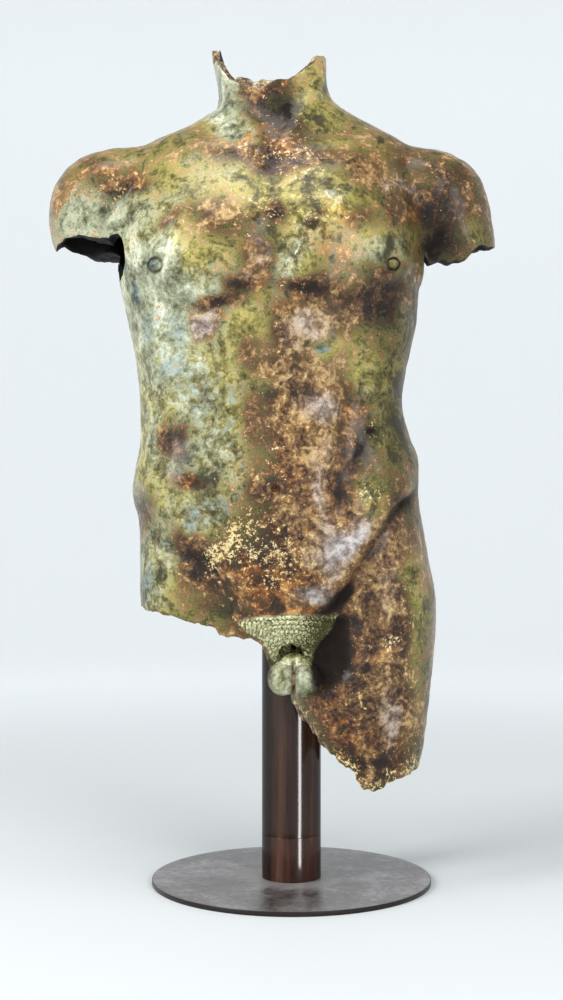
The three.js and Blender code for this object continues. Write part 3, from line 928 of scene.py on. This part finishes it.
# The stand, in millimetres; its radii and levels come from the frame.
stand = {
    "postWall": 5,
    "touchGap": 0.3,  # left between the post and the bronze that rests against it
    "roomFrom": 100,  # the lowest level where the bronze is cut back for the post
    "edgeRound": 0.7,
    "seamRound": 0.35,
}


def tubeGrid(radius, ends, around):
    # surface (angle, height): a circle of one radius at each end
    angle = np.linspace(0, 2 * np.pi, around, endpoint=False)
    circle = np.stack([radius * np.cos(angle), radius * np.sin(angle)], -1)
    return np.stack([np.column_stack([circle, np.full(around, z)]) for z in ends])


def postRoom():
    # the space that the post needs inside the casting
    grid = tubeGrid(postRadius + stand["touchGap"], (stand["roomFrom"], postTop + 1.5), 96)
    return meshOfGrids("post_room", [grid])


def roundedCorner(r, z, inR, inZ, size):
    # quarter arc from one face of a turned profile to the next; inR and inZ point into the metal
    t = np.linspace(0, np.pi / 2, 4)
    return [(r + inR * size * (1 - np.sin(a)), z + inZ * size * (1 - np.cos(a))) for a in t]


def turned(name, profile, around, closed):
    # surface (angle, profile): the profile carried round the post's axis
    grid = np.array(profile)
    angle = np.linspace(0, 2 * np.pi, around, endpoint=False)[None, :]
    rings = [grid[:, :1] * np.cos(angle), grid[:, :1] * np.sin(angle), np.repeat(grid[:, 1:], around, 1)]
    rings = np.stack(rings, -1)
    if not closed:
        return meshOfGrids(name, [rings])
    count = len(profile)
    ring, col = np.meshgrid(np.arange(count), np.arange(around), indexing="ij")
    a, b = ring * around + col, ring * around + (col + 1) % around
    c, d = ((ring + 1) % count) * around + (col + 1) % around, ((ring + 1) % count) * around + col
    piece = newPiece(name, rings.reshape(-1, 3), np.stack([a, b, c, d], -1).reshape(-1, 4).tolist())
    faceOut(piece.data)
    return piece


def steelTube(name, low, high):
    # profile: up the outer wall between two rounded corners, then back down the bore
    inner, size = postRadius - stand["postWall"], stand["seamRound"]
    profile = [(inner, low), *roundedCorner(postRadius, low, -1, 1, size)]
    profile += [(postRadius, low + (high - low) * k / 24) for k in range(1, 24)]
    profile += [*roundedCorner(postRadius, high, -1, -1, size)[::-1], (inner, high)]
    return turned(name, profile, 128, True)


def steelPlate():
    # profile: out along the underside, round both corners of the rim, and in along the top
    size = stand["edgeRound"]
    rings = np.linspace(6, plateRadius - 4, 24)
    profile = [(r, floorLevel) for r in rings] + roundedCorner(plateRadius, floorLevel, -1, 1, size)
    profile += roundedCorner(plateRadius, plateTop, -1, -1, size)[::-1]
    profile += [(r, plateTop) for r in rings[::-1]]
    return turned("stand_plate", profile, 192, False)


# Patina, as broad areas on the front chart: place, half width, half height, turn in degrees, amount.
# Each name is a share from 0 to 1 that the bronze material breaks up with its own grain. Some areas are
# painted shade or sheen.
patina = {
    "bare": {  # brown metal showing through the green crust; the thin bands under the breasts are painted shade too, and (-98, 597) carries the painted sheen on the ribs
        "base": 0.4,
        "areas": [
            (38, 462, 58, 140, 0, 0.42), (-4, 520, 30, 110, 0, 0.36), (10, 345, 96, 62, 0, 0.42),
            (84, 270, 70, 130, 0, 0.5), (92, 165, 60, 90, 0, 0.5), (168, 716, 60, 62, 0, 0.34),
            (96, 752, 44, 28, -10, 0.3), (104, 560, 40, 96, 0, -0.12), (-24, 838, 24, 44, 0, 0.34),
            (26, 850, 18, 44, 10, -0.3), (-132, 540, 52, 120, 0, -0.5), (-152, 650, 44, 56, 0, -0.42),
            (-108, 470, 62, 84, 0, -0.3), (-72, 838, 22, 44, 8, -0.6), (-150, 332, 30, 52, 0, -0.34),
            (-216, 706, 44, 52, 0, -0.16), (-248, 735, 14, 40, 0, 0.25), (-204, 752, 30, 14, 0, 0.3),
            (-40, 748, 90, 20, 0, -0.24), (40, 736, 70, 30, 0, -0.3), (96, 690, 44, 36, 0, -0.34),
            (-120, 668, 40, 34, 0, -0.1), (-4, 665, 22, 40, 0, -0.36), (-76, 711, 32, 19, 0, 0.42),
            (-19, 719, 12, 10, 0, 0.7), (-38, 671, 15, 23, -10, 0.6), (-58, 639, 20, 11, 0, 0.6),
            (-86, 620, 32, 7, 4, 0.8), (-48, 780, 38, 11, -4, 0.6), (18, 776, 30, 11, 0, 0.6),
            (-131, 708, 16, 8, 30, 0.6), (-163, 741, 18, 7, 18, 0.45), (74, 713, 19, 14, -12, 0.5),
            (15, 640, 27, 11, -6, 0.75), (90, 622, 34, 26, 10, 0.5), (-119, 476, 22, 26, 12, 1.2),
            (-108, 432, 24, 11, 0, 0.9), (-100, 355, 34, 15, -42, 0.9), (-160, 392, 9, 24, -12, 0.6),
            (-26, 551, 9, 8, 0, 0.4), (-30, 424, 8, 12, -20, 0.5), (10, 604, 34, 16, 0, 0.4),
            (-180, 742, 20, 10, 10, 0.3), (-206, 768, 26, 8, -14, 0.3), (-190, 735, 12, 8, -20, 0.4),
            (-98, 597, 20, 16, 0, 1.1), (-46, 500, 12, 24, 0, 0.4), (-42, 430, 10, 20, 0, 0.3),
            (-44, 566, 10, 16, 0, 0.4), (-22, 540, 10, 14, 0, -0.35), (-18, 470, 9, 18, 0, -0.3),
            (104, 490, 24, 60, 0, -0.35), (-26, 770, 12, 14, 0, 0.6), (76, 768, 16, 10, -20, 0.5),
            (110, 716, 14, 20, 0, 0.3), (58, 576, 30, 16, 0, -0.26), (78, 547, 20, 15, 0, -0.5),
            (84, 412, 18, 18, 20, -0.6), (34, 580, 16, 14, 0, -0.3), (134, 300, 12, 70, 4, -0.5),
            (128, 200, 12, 40, 0, -0.6), (110, 150, 16, 14, 30, -0.4), (-100, 396, 22, 20, 0, -0.4),
            (-44, 590, 26, 40, 0, -0.3), (196, 700, 16, 34, 8, -0.3), (130, 752, 40, 8, -16, -0.2),
        ],
    },
    "pale": {  # chalky white-green crust; at (-90, 602) and (-230, 702) also a painted highlight
        "base": 0.1,
        "areas": [
            (-148, 650, 36, 52, 0, 0.85), (-140, 560, 34, 90, 0, 0.4), (-90, 602, 26, 24, 0, 0.4),
            (-74, 836, 16, 40, 8, 1.3), (-112, 622, 30, 24, 0, 0.5), (-186, 706, 20, 26, 0, 0.6),
            (-230, 702, 28, 28, 0, 1.2), (-184, 728, 40, 26, 0, 0.4), (-152, 600, 8, 50, 8, 0.4),
            (-96, 540, 50, 70, 0, 0.2), (-10, 660, 18, 40, -14, 0.4), (-60, 780, 50, 8, 6, 0.3),
            (90, 670, 34, 22, 0, 0.4), (-104, 450, 64, 70, 0, 0.3), (-156, 345, 24, 56, 0, 0.5),
            (14, 224, 24, 24, 0, 0.5), (-96, 745, 60, 18, 16, 0.25),
        ],
    },
    "teal": {  # blue-grey stains
        "base": 0.12,
        "areas": [
            (-145, 660, 8, 8, 0, 1.0), (-165, 630, 5, 16, 8, 0.9), (-112, 520, 50, 130, 0, 0.16),
            (-124, 596, 10, 22, 10, 0.6), (-122, 548, 16, 24, -20, 0.5), (-86, 514, 24, 30, 0, 0.4),
            (-74, 404, 26, 18, 40, 0.4), (-106, 392, 18, 26, -30, 0.5), (-160, 414, 8, 14, 0, 0.9),
            (-156, 322, 12, 22, 0, 0.7), (-136, 366, 10, 9, 0, 0.6), (33, 577, 12, 9, 0, 0.8),
            (48, 740, 20, 10, 0, 0.5), (116, 713, 9, 10, 0, 0.7), (-64, 648, 26, 14, 0, 0.5),
            (-152, 600, 8, 30, 10, 0.6), (26, 782, 5, 10, 0, 0.9), (-178, 662, 6, 12, 20, 0.8),
            (56, 496, 10, 16, 0, 0.4), (138, 270, 14, 20, 0, 0.4), (-44, 560, 16, 18, 0, 0.5),
        ],
    },
    "fleck": {  # cream and ochre earth caught in the pits
        "base": 0.22,
        "areas": [
            (-66, 360, 26, 25, 20, 1.0), (-184, 734, 34, 24, 0, 0.5), (-20, 400, 60, 70, 0, 0.3),
            (-6, 345, 34, 30, 0, 0.5), (128, 250, 14, 90, 4, 0.4), (-76, 711, 40, 26, 0, 0.4),
            (-6, 500, 26, 110, 0, 0.35), (-46, 780, 44, 14, 0, 0.5), (18, 776, 34, 14, 0, 0.5),
            (84, 235, 30, 60, 0, 0.1), (20, 735, 70, 26, 0, 0.45), (-60, 745, 60, 20, 0, 0.2),
            (84, 414, 16, 18, 20, 0.8), (52, 384, 8, 9, 0, 0.6), (86, 482, 16, 12, 0, 0.6),
            (107, 262, 8, 10, 0, 0.9), (74, 246, 12, 30, 0, 0.1), (-30, 320, 40, 30, 0, 0.25),
            (-4, 665, 14, 34, -12, 0.4), (-122, 330, 30, 30, 0, 0.2), (150, 760, 24, 10, -10, 0.3),
            (180, 690, 24, 28, 0, 0.3), (0, 826, 26, 30, 0, 0.45), (78, 196, 5, 13, 20, 0.9),
            (34, 440, 40, 60, 0, -0.35), (40, 540, 30, 40, 0, -0.3), (110, 700, 34, 50, 0, -0.3),
            (-104, 396, 26, 28, -30, -0.5), (120, 480, 20, 90, 0, -0.1), (165, 684, 18, 22, 0, -0.6),
        ],
    },
    "waxed": {  # worn smooth and glossier; also painted sheen, greyer tan and lilac over the brown
        "base": 0.0,
        "areas": [
            (-145, 661, 8, 8, 0, 0.9), (34, 512, 28, 18, -20, 0.8), (30, 432, 13, 46, 4, 0.7),
            (66, 375, 12, 32, -42, 0.9), (20, 308, 26, 9, -6, 0.9), (107, 178, 11, 66, 5, 0.6),
            (84, 160, 34, 30, 0, 0.3), (22, 604, 30, 22, 0, 0.7), (-38, 668, 12, 20, -10, 0.5),
            (110, 744, 34, 14, -24, 0.6), (163, 684, 16, 20, 0, 0.2), (-98, 596, 21, 17, 0, 0.95),
            (36, 350, 34, 44, -10, 0.8), (128, 590, 10, 50, 6, 0.6), (-4, 555, 24, 44, 0, 0.4),
            (46, 560, 30, 14, 0, 0.4), (-100, 400, 20, 24, -30, 0.4), (-74, 838, 12, 34, 8, 0.5),
            (-232, 700, 20, 24, 0, 0.7), (58, 270, 14, 60, -4, 0.1),
        ],
    },
    "dark": {  # deeper tone, black and purple where it passes about 0.8; partly dark patina, partly painted shade
        "base": 0.12,
        # painted shade: under the breasts, in the groin creases, the pit of the neck, the armpits, and
        # darkest beside the pubis and the inner thigh
        "areas": [
            (-100, 420, 70, 90, 0, 0.22), (112, 540, 30, 120, 0, 0.3), (-100, 320, 70, 40, 0, 0.2),
            (72, 240, 50, 100, 0, 0.22), (92, 140, 50, 40, 0, 0.2), (170, 716, 54, 56, 0, 0.55),
            (112, 600, 36, 60, 0, 0.26), (-4, 836, 32, 44, 0, 0.45), (104, 490, 24, 60, 0, 0.35),
            (120, 440, 20, 40, 0, 0.2), (34, 470, 40, 120, 0, -0.12), (-130, 560, 50, 120, 0, -0.1),
            (38, 262, 22, 48, 0, 0.4), (72, 466, 7, 16, -14, 1.0), (84, 484, 8, 5, 0, 0.7),
            (52, 418, 7, 11, 0, 0.7), (52, 308, 7, 18, -38, 0.7), (88, 322, 14, 9, -10, 0.4),
            (163, 683, 19, 22, 0, 0.35), (148, 668, 10, 14, 0, 0.4), (40, 240, 18, 46, 0, 0.8),
            (60, 236, 16, 44, 0, 0.15), (-145, 660, 9, 9, 0, 0.2), (-19, 719, 9, 8, 0, 0.5),
            (-58, 639, 14, 7, 0, 0.5), (15, 638, 24, 8, -6, 0.5), (92, 618, 30, 14, 0, 0.35),
            (-120, 474, 12, 16, 0, 0.2), (-100, 356, 26, 8, -42, 0.5), (-16, 300, 10, 6, 0, 0.6),
            (-6, 828, 12, 18, 20, 0.5), (-26, 772, 9, 9, 0, 0.5), (115, 406, 10, 10, -40, 0.4),
            (-26, 430, 10, 7, 0, 0.4), (-68, 296, 26, 7, -10, 0.4), (-50, 820, 8, 24, -18, 0.4),
            (84, 130, 26, 10, 0, 0.4), (-198, 716, 6, 11, 0, 0.5), (-165, 636, 4, 13, 8, 0.7),
            (-56, 838, 9, 22, -12, 0.45),
        ],
    },
    "warm": {  # rust and orange-brown
        "base": 0.3,
        "areas": [
            (-20, 318, 40, 22, -10, 0.8), (-100, 430, 26, 8, 0, 0.6), (10, 290, 44, 5, 2, 0.9),
            (-165, 745, 30, 12, 10, 0.3), (-196, 764, 40, 12, -10, 0.3), (-20, 858, 30, 16, 0, 0.6),
            (0, 400, 50, 60, 0, 0.3), (46, 130, 40, 40, -30, 0.3), (114, 140, 14, 20, 0, 0.3),
            (-182, 672, 9, 7, 0, 0.9), (-60, 860, 20, 16, 0, 0.7), (60, 720, 40, 20, 0, 0.3),
            (134, 710, 9, 30, 8, 0.5), (64, 165, 30, 20, 0, 0.3),
        ],
    },
}


# Where the patina and the painted shade follow the form and not the chart, in millimetres.
formPatinaAndShade = {
    "stray": [(5, 8), (8, 17), (14, 44)],  # how far a border wanders, and over what distance
    "strayFrom": 26,  # a narrower area wanders less, in proportion
    "crust": (17, 2, 230),  # on the torn thigh: how fast it fades upwards, where it starts, its top
    "hollow": (30, 2.6),  # rounds of smoothing that find the wide hollows, and a full hollow's depth
    "gap": (2, 0.35),  # the same for the gaps between curls
    "pouch": ((2, 224), (32, 26), -84),  # place and size on the chart, and how far forward it starts
}


def wander(points, way):
    return sum(far * grain(points, size, size / 7 + way) for far, size in formPatinaAndShade["stray"])


def sunk(mesh, points, normals, rounds, deep):
    # how far each point lies below its smoothed surroundings, from -1 to 1
    drop = ((relax(mesh, points, rounds, 0.6, 0) - points) * normals).sum(1)
    return np.clip(drop / deep, -1, 1)


def patinaAndShadeOfForm(mesh, points, normals, front, hair):
    # what hollows, torn edges and small forms add to each kind of patina, painted shade included
    u, v = chart(points)
    x, y, z = points.T
    fade, start, top = formPatinaAndShade["crust"]
    above = np.clip(z - edgeHeight(breaks["hipFront"], x), 0, None)
    crust = np.exp(-above / fade) * (x > start) * (z < top)
    place, size, forward = formPatinaAndShade["pouch"]
    pouch = mound(u, v, place, size, 0, 8) * (y < forward)
    aside = np.abs(x - scrotum["seam"][0])
    hollow = sunk(mesh, points, normals, *formPatinaAndShade["hollow"])
    gap = sunk(mesh, points, normals, *formPatinaAndShade["gap"])
    rings = sum(band(np.hypot(u - a, v - b) / r, 1.12, 0.22) for a, b, r in details["nipples"])
    stumpU, stumpV = details["stump"]
    pit = np.maximum(stumpPit(u, v, 3.0, 5), 0.75 * mound(u, v, (stumpU, stumpV - 1), (14.5, 8.5), 0, 4))
    # dark: dirt and painted shade in the hollows, lighter on the crests, a little darker where it faces
    # away from the front; painted shade in the curl gaps, nipple rings, stump pit and down the sides of
    # the pouch
    dark = 0.34 * np.clip(hollow, 0, 1) - 0.12 * np.clip(-hollow, 0, 1) + 0.16 * (1 - front)
    dark += 0.4 * hair * np.clip(gap, 0, 1) + front * (0.6 * rings + 0.8 * pit)
    dark += 0.7 * pouch * softStep(aside, 11, 24)
    bare = 0.05 * (1 - front) - 0.25 * crust - 0.6 * pouch + 1.3 * pouch * band(aside, 0, 2.2)
    fleck = crust - 0.5 * pouch
    # the pouch is made pale, and waxed for a painted sheen
    return {"dark": dark, "bare": bare, "fleck": fleck, "pale": 0.5 * pouch, "waxed": 0.5 * pouch}


def paint(mesh, name, value):
    # kept on the mesh point by point, where the material reads it by name
    write = mesh.attributes.new(name, "FLOAT", "POINT")
    write.data.foreach_set("value", np.clip(value, 0, 1.2).astype(np.float32))


def stainAndShade(mesh):
    points = readPoints(mesh)
    normals = readNormals(mesh)
    u, v = chart(points)
    front = softStep(-normals[:, 1], -0.12, 0.25)
    hair = hairMask(u, v) * front
    ofForm = patinaAndShadeOfForm(mesh, points, normals, front, hair)
    strayU, strayV = wander(points, 0), wander(points, 5)
    cloud = 0.5 * grain(points, 70, 4) + 0.3 * grain(points, 34, 2)
    for share, (name, kind) in enumerate(patina.items()):
        value = np.full(len(points), kind["base"])
        for x, z, wide, high, turn, amount in kind["areas"]:
            loose = min(1, wide / formPatinaAndShade["strayFrom"], high / formPatinaAndShade["strayFrom"])
            spread = mound(u + loose * strayU, v + loose * strayV, (x, z), (wide, high), turn)
            value += front * amount * spread
        # behind, where no areas are placed, the kinds gather in clouds, in turn
        value += (1 - front) * 1.1 * cloud * (1 if share % 2 else -1)
        paint(mesh, name, value + ofForm.get(name, 0))
    paint(mesh, "hair", hair)


# How a material is put together. Noises: size of the largest blobs in mm, detail, roughness, distortion,
# shift. Gates: weights of what is summed, what is added, where the gate opens and is open. Shades: what
# picks the colour, and its stops. Layers, from the bottom up: what shows, and the gate that lets it
# through; stacks are layers put together first. Then the depth of the finest relief in metres, the
# shader's fixed settings, and the ones that gates drive.
#
# Cast bronze, long buried and since waxed: green crust over brown metal, so the eye gets patches with
# torn borders, cream earth in the pits and a soft gloss on what stands proud, with painted shade in the
# hollows and creases and a painted sheen on the waxed areas.
bronzeLook = {
    "noises": {
        "cloud": (60, 5, 0.6, 0.5, 1.9),
        "patch": (34, 8, 0.7, 0.9, 0.0),
        "clump": (11, 6, 0.68, 0.6, 3.1),
        "speck": (4.2, 4, 0.68, 0.5, 7.7),
        "grit": (2.3, 2, 0.6, 0.0, 5.3),
    },
    "gates": {
        "metal": ({"bare": 1.15, "patch": 2.4, "clump": 2.0, "speck": 1.3}, -2.9, 0.44, 0.54),
        "metalTone": (
            {"patch": 1.7, "clump": 1.5, "speck": 1.0, "dark": -0.5, "waxed": 0.1}, -1.52, 0.0, 1.0,
        ),
        "crustTone": (
            {"patch": 2.0, "clump": 1.3, "speck": 0.9, "pale": 0.04, "dark": -0.42}, -1.6, 0.0, 1.0,
        ),
        "rusty": ({"warm": 1.0, "cloud": 2.0, "clump": 1.2}, -1.7, 0.2, 1.0),
        # the next two gates open where the waxed share is high, for tan and then lilac: painted sheen,
        # tan partly worn metal too
        "rubbedAndSheen": ({"waxed": 1.0, "clump": 0.9}, -0.45, 0.3, 1.0),
        "paintedSheen": ({"waxed": 1.0, "clump": 0.9}, -0.45, 0.35, 1.25),
        "ochreous": ({"warm": 0.6, "cloud": 2.6, "speck": 1.4}, -2.0, 0.25, 0.75),
        "chalky": ({"pale": 1.0, "clump": 1.8, "cloud": 1.2}, -1.5, 0.1, 0.8),
        "bluish": ({"teal": 0.9, "clump": 1.8, "patch": 1.6}, -1.7, 0.3, 0.95),
        "pits": ({"grit": 1.7, "clump": 1.4, "speck": 0.8, "pale": -0.25}, -2.12, 0.2, 0.4),
        "earth": ({"grit": 1.6, "speck": 1.2, "clump": 1.5, "fleck": 0.42}, -2.2, 0.42, 0.62),
        # near-black: dark patina, and painted shadow where the dark share is high, as beside the pubis
        # and in the stump pit
        "sootAndShadow": ({"dark": 1.0, "clump": 1.2, "speck": 0.8}, -1.0, 0.66, 1.1),
        "curlTone": ({"speck": 1.2, "grit": 1.0, "dark": -0.5}, -0.5, 0.0, 1.0),
        "matt": (
            {"metal": -0.08, "earth": 0.2, "waxed": -0.16, "clump": 0.5, "dark": 0.45}, 0.11, 0.0, 1.0,
        ),
        "wax": ({"sootAndShadow": -0.24}, 0.24, 0.0, 1.0),
        "height": (
            {"metal": -0.2, "earth": 0.16, "speck": 0.5, "clump": 0.7, "grit": 0.25, "pits": -0.22},
            0.0, 0.0, 1.6,
        ),
    },
    "shades": {
        "brown": ("metalTone", [
            (0.18, "#1C110B"), (0.34, "#3C2718"), (0.5, "#5E442A"), (0.66, "#816440"), (0.86, "#B09464"),
        ]),
        "rust": ("metalTone", [(0.18, "#221108"), (0.4, "#5A3416"), (0.6, "#875425"), (0.84, "#BC8C4C")]),
        # tan and lilac: the painted sheen colours, tan also the paler brown of worn metal
        "tan": ("metalTone", [(0.15, "#3E2E22"), (0.5, "#7C6248"), (0.85, "#AF9574")]),
        "lilac": ("metalTone", [(0.15, "#4F453F"), (0.5, "#847B77"), (0.85, "#B9B4B4")]),
        "olive": ("crustTone", [
            (0.1, "#37321A"), (0.32, "#665E30"), (0.5, "#8C8343"), (0.66, "#ADA158"), (0.88, "#E2D68C"),
        ]),
        "ochre": ("crustTone", [
            (0.16, "#2B1C0B"), (0.38, "#735524"), (0.58, "#B09148"), (0.84, "#E4CF84"),
        ]),
        "chalk": ("crustTone", [
            (0.08, "#3C3D2A"), (0.32, "#72755A"), (0.5, "#93967B"), (0.68, "#B3B69B"), (0.95, "#EDEEE2"),
        ]),
        "blue": ("crustTone", [
            (0.18, "#2E3838"), (0.42, "#62706C"), (0.62, "#83908A"), (0.88, "#AAB5AE"),
        ]),
        "loam": ("cloud", [(0.34, "#BF9E70"), (0.5, "#D2BF84"), (0.66, "#E3D9B2")]),
        "curls": ("curlTone", [
            (0.15, "#454327"), (0.36, "#8E8B60"), (0.56, "#C0BE94"), (0.8, "#E6E7CE"),
        ]),
    },
    "stacks": {
        "crust": [
            ("olive", None), ("ochre", "ochreous"), ("chalk", "chalky"), ("blue", "bluish"),
            ("#4C3F24", "pits"),
        ],
        "metalCoat": [("brown", None), ("rust", "rusty"), ("tan", "rubbedAndSheen"), ("lilac", "paintedSheen")],
    },
    "layers": [
        ("crust", None), ("metalCoat", "metal"), ("loam", "earth"), ("#1A110C", "sootAndShadow"),
        ("curls", "hair"),
    ],
    "bump": 0.0022,
    "shader": {"Metallic": 0.1, "Specular IOR Level": 0.2, "Coat Roughness": 0.2},
    "driven": {"Roughness": "matt", "Coat Weight": "wax"},
}


def addNoises(tree, place, noises, values):
    for name, (size, detail, rough, twist, shift) in noises.items():
        shifted = {0: place, 1: (shift, 0.7 * shift, -shift)}
        moved = addNode(tree, "ShaderNodeVectorMath", shifted, operation="ADD")
        noise = {"Vector": moved.outputs[0], "Scale": 1 / (size * mm), "Detail": detail}
        noise.update({"Roughness": rough, "Distortion": twist})
        values[name] = addNode(tree, "ShaderNodeTexNoise", noise).outputs[0]


def addGates(tree, gates, values):
    # a gate is 0 to 1: smooth between its two levels of the weighed sum
    for name, (weights, total, low, high) in gates.items():
        for source, weight in weights.items():
            term = {0: values[source], 1: weight, 2: total}
            total = addNode(tree, "ShaderNodeMath", term, operation="MULTIPLY_ADD").outputs[0]
        span = {"Value": total, "From Min": low, "From Max": high}
        kind = "LINEAR" if high - low >= 1 else "SMOOTHSTEP"
        values[name] = addNode(tree, "ShaderNodeMapRange", span, interpolation_type=kind).outputs[0]


def addShades(tree, shades, values):
    for name, (source, stops) in shades.items():
        values[name] = addNode(tree, "ShaderNodeValToRGB", {0: values[source]}, stops).outputs[0]


def addLayers(tree, layers, values):
    colour = values[layers[0][0]]
    for name, share in layers[1:]:
        mix = {0: values[share], 6: colour, 7: values.get(name, name)}
        colour = addNode(tree, "ShaderNodeMix", mix, data_type="RGBA").outputs[2]
    return colour


def buildMaterial(name, look, marks=()):
    # marks: what is painted on the mesh, which the gates then read
    material, tree = newMaterial(name)
    place = addNode(tree, "ShaderNodeTexCoord").outputs["Object"]
    values = {
        "level": addNode(tree, "ShaderNodeSeparateXYZ", {0: place}).outputs[2],
        "radius": addNode(tree, "ShaderNodeVectorMath", {0: place}, operation="LENGTH").outputs["Value"],
    }
    for mark in marks:
        values[mark] = addNode(tree, "ShaderNodeAttribute", attribute_name=mark).outputs["Fac"]
    stretch = {"Vector": place, "Scale": look.get("stretch", (1, 1, 1))}
    addNoises(tree, addNode(tree, "ShaderNodeMapping", stretch).outputs[0], look["noises"], values)
    addGates(tree, look["gates"], values)
    addShades(tree, look["shades"], values)
    for stack, layers in look.get("stacks", {}).items():
        values[stack] = addLayers(tree, layers, values)
    relief = {"Height": values["height"], "Strength": 0.85, "Distance": look["bump"]}
    inputs = {"Base Color": addLayers(tree, look["layers"], values), **look["shader"]}
    inputs["Normal"] = addNode(tree, "ShaderNodeBump", relief).outputs[0]
    inputs.update({socket: values[gate] for socket, gate in look["driven"].items()})
    shader = addNode(tree, "ShaderNodeBsdfPrincipled", inputs)
    addNode(tree, "ShaderNodeOutputMaterial", {"Surface": shader.outputs[0]})
    return material


# The inner face of the casting, never cleaned: nearly black and dull. It also covers the torn faces of
# the arm breaks, as painted shade in those openings.
insideLook = {
    "noises": {"clump": (14, 6, 0.6, 0.0, 0.0)},
    "gates": {"height": ({"clump": 1.0}, 0.0, 0.0, 1.0)},
    "shades": {"colour": ("clump", [(0.3, "#0A0807"), (0.55, "#1A1410"), (0.75, "#2E241B")])},
    "layers": [("colour", None)],
    "bump": 0.002,
    "shader": {"Roughness": 0.85},
    "driven": {},
}
# Bronze that tore: grainy, brown in the low spots and cream with corrosion on the high ones.
tornLook = {
    "noises": {"clump": (11, 6, 0.68, 0.3, 0.0), "grit": (2.8, 3, 0.65, 0.0, 2.2)},
    "gates": {
        "tone": ({"clump": 1.5, "grit": 1.1}, -0.8, 0.0, 1.0),
        "height": ({"clump": 0.8, "grit": 0.5}, 0.0, 0.0, 1.3),
    },
    "shades": {
        "colour": ("tone", [
            (0.2, "#1D130D"), (0.4, "#4A3420"), (0.55, "#7A6546"), (0.7, "#A79A78"), (0.86, "#D0CAB0"),
        ]),
    },
    "layers": [("colour", None)],
    "bump": 0.002,
    "shader": {"Roughness": 0.68},
    "driven": {},
}


def castTorso():
    bronze = buildMaterial("patinated_cast_bronze", bronzeLook, (*patina, "hair"))
    inside = buildMaterial("bronze_casting_inside", insideLook)
    torn = buildMaterial("broken_bronze_edge", tornLook)
    skin = sculptSkin()
    skin.data.materials.append(bronze)
    hollow = sculptHollow()
    hollow.data.materials.append(inside)
    combine(skin, hollow, "DIFFERENCE")
    # the arm breaks take the near-black inside finish: painted shade in those openings
    for block in (neckBreak(), armBreak("right"), armSlot(), armBreak("left"), hipBreak()):
        block.data.materials.append(inside if "arm" in block.name else torn)  # the arms' edges are black
        combine(skin, block, "DIFFERENCE")
    pouch = sculptScrotum()
    pouch.data.materials.append(bronze)
    combine(skin, pouch, "UNION")
    room = postRoom()
    room.data.materials.append(inside)
    combine(skin, room, "DIFFERENCE")
    dropCrumbs(skin.data)
    stainAndShade(skin.data)
    skin.data.shade_smooth()
    triangles = sum(len(p.vertices) - 2 for p in skin.data.polygons)
    print("casting:", len(skin.data.vertices), "points,", triangles, "triangles")
    return skin


def finish(piece, node):
    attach(piece, "root")
    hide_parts(node)


# Drawn steel tube, browned and lacquered: dark streaks along it under a clear, sharp shine. The socket,
# below the seam, is a shade redder.
tubeLook = {
    "stretch": (1, 1, 0.06),
    "noises": {"streak": (5, 6, 0.65, 0.0, 0.0), "cloud": (36, 5, 0.6, 0.6, 2.7)},
    "gates": {
        "foot": ({"level": -1.0}, 0.0, -0.054, -0.05),
        "tone": ({"streak": 0.7, "cloud": 1.5}, -0.6, 0.0, 1.0),
        "matt": ({"streak": 0.2, "cloud": 0.2}, 0.12, 0.0, 1.0),
        "height": ({"streak": 1.0}, 0.0, 0.0, 1.0),
    },
    "shades": {
        "colour": ("tone", [
            (0.2, "#0A0504"), (0.45, "#170D09"), (0.62, "#22150E"), (0.85, "#35241B"),
        ]),
        "lower": ("tone", [(0.2, "#0C0604"), (0.5, "#1E100B"), (0.8, "#3D251B")]),
    },
    "layers": [("colour", None), ("lower", "foot")],
    "bump": 0.0002,
    "shader": {
        "Specular IOR Level": 0.0, "Coat Weight": 0.5, "Coat Roughness": 0.15, "Coat IOR": 1.5,
    },
    "driven": {"Roughness": "matt"},
}
# Rolled steel plate, waxed: an even grey with faint clouds and scuffs, dust round the tube, a dark rim.
plateLook = {
    "noises": {
        "cloud": (55, 7, 0.62, 0.8, 0.0),
        "fine": (6, 4, 0.6, 0.4, 4.4),
        "scuff": (3.5, 4, 0.65, 0.0, 9.1),
    },
    "gates": {
        "near": ({"radius": -1.0}, 0.0, -0.085, -0.036),
        "dust": ({"near": 0.6, "cloud": 1.6}, -0.8, 0.2, 0.7),
        "rim": ({"radius": 1.0}, 0.0, 0.1488, 0.1496),
        "tone": ({"cloud": 1.3, "fine": 0.6, "scuff": 0.5}, -0.7, 0.0, 1.0),
        "matt": ({"cloud": 0.3, "scuff": 0.16, "dust": 0.2}, 0.12, 0.0, 1.0),
        "height": ({"scuff": 0.5, "fine": 0.5}, 0.0, 0.0, 1.0),
    },
    "shades": {
        "colour": ("tone", [(0.2, "#423A37"), (0.42, "#645D5B"), (0.6, "#827C7C"), (0.8, "#A39E9E")]),
    },
    "layers": [("colour", None), ("#9C9794", "dust"), ("#241C1A", "rim")],
    "bump": 0.0001,
    "shader": {"Metallic": 0.5},
    "driven": {"Roughness": "matt"},
}


def buildStand():
    tube = buildMaterial("browned_steel_tube", tubeLook)
    plate = buildMaterial("waxed_steel_plate", plateLook)
    post = steelTube("stand_post", postBottom, postTop)
    socket = steelTube("stand_socket", plateTop, postBottom)
    base = steelPlate()
    for piece, material in ((post, tube), (socket, tube), (base, plate)):
        piece.data.materials.append(material)
        piece.data.shade_smooth()
        piece.data.set_sharp_from_angle(angle=np.radians(50))
    # the thin strip close to the tube draws the bright line down it, and reaches nothing else
    tubeOnly = bpy.data.collections.new("tubeOnly")
    tubeOnly.objects.link(post)
    tubeOnly.objects.link(socket)
    bpy.data.objects["tubeStrip"].light_linking.receiver_collection = tubeOnly
    finish(post, "post")
    finish(socket, "post_socket")
    finish(base, "base_plate")
    print("stand: post, socket and plate")


addStudio()
finish(castTorso(), "torso")
buildStand()
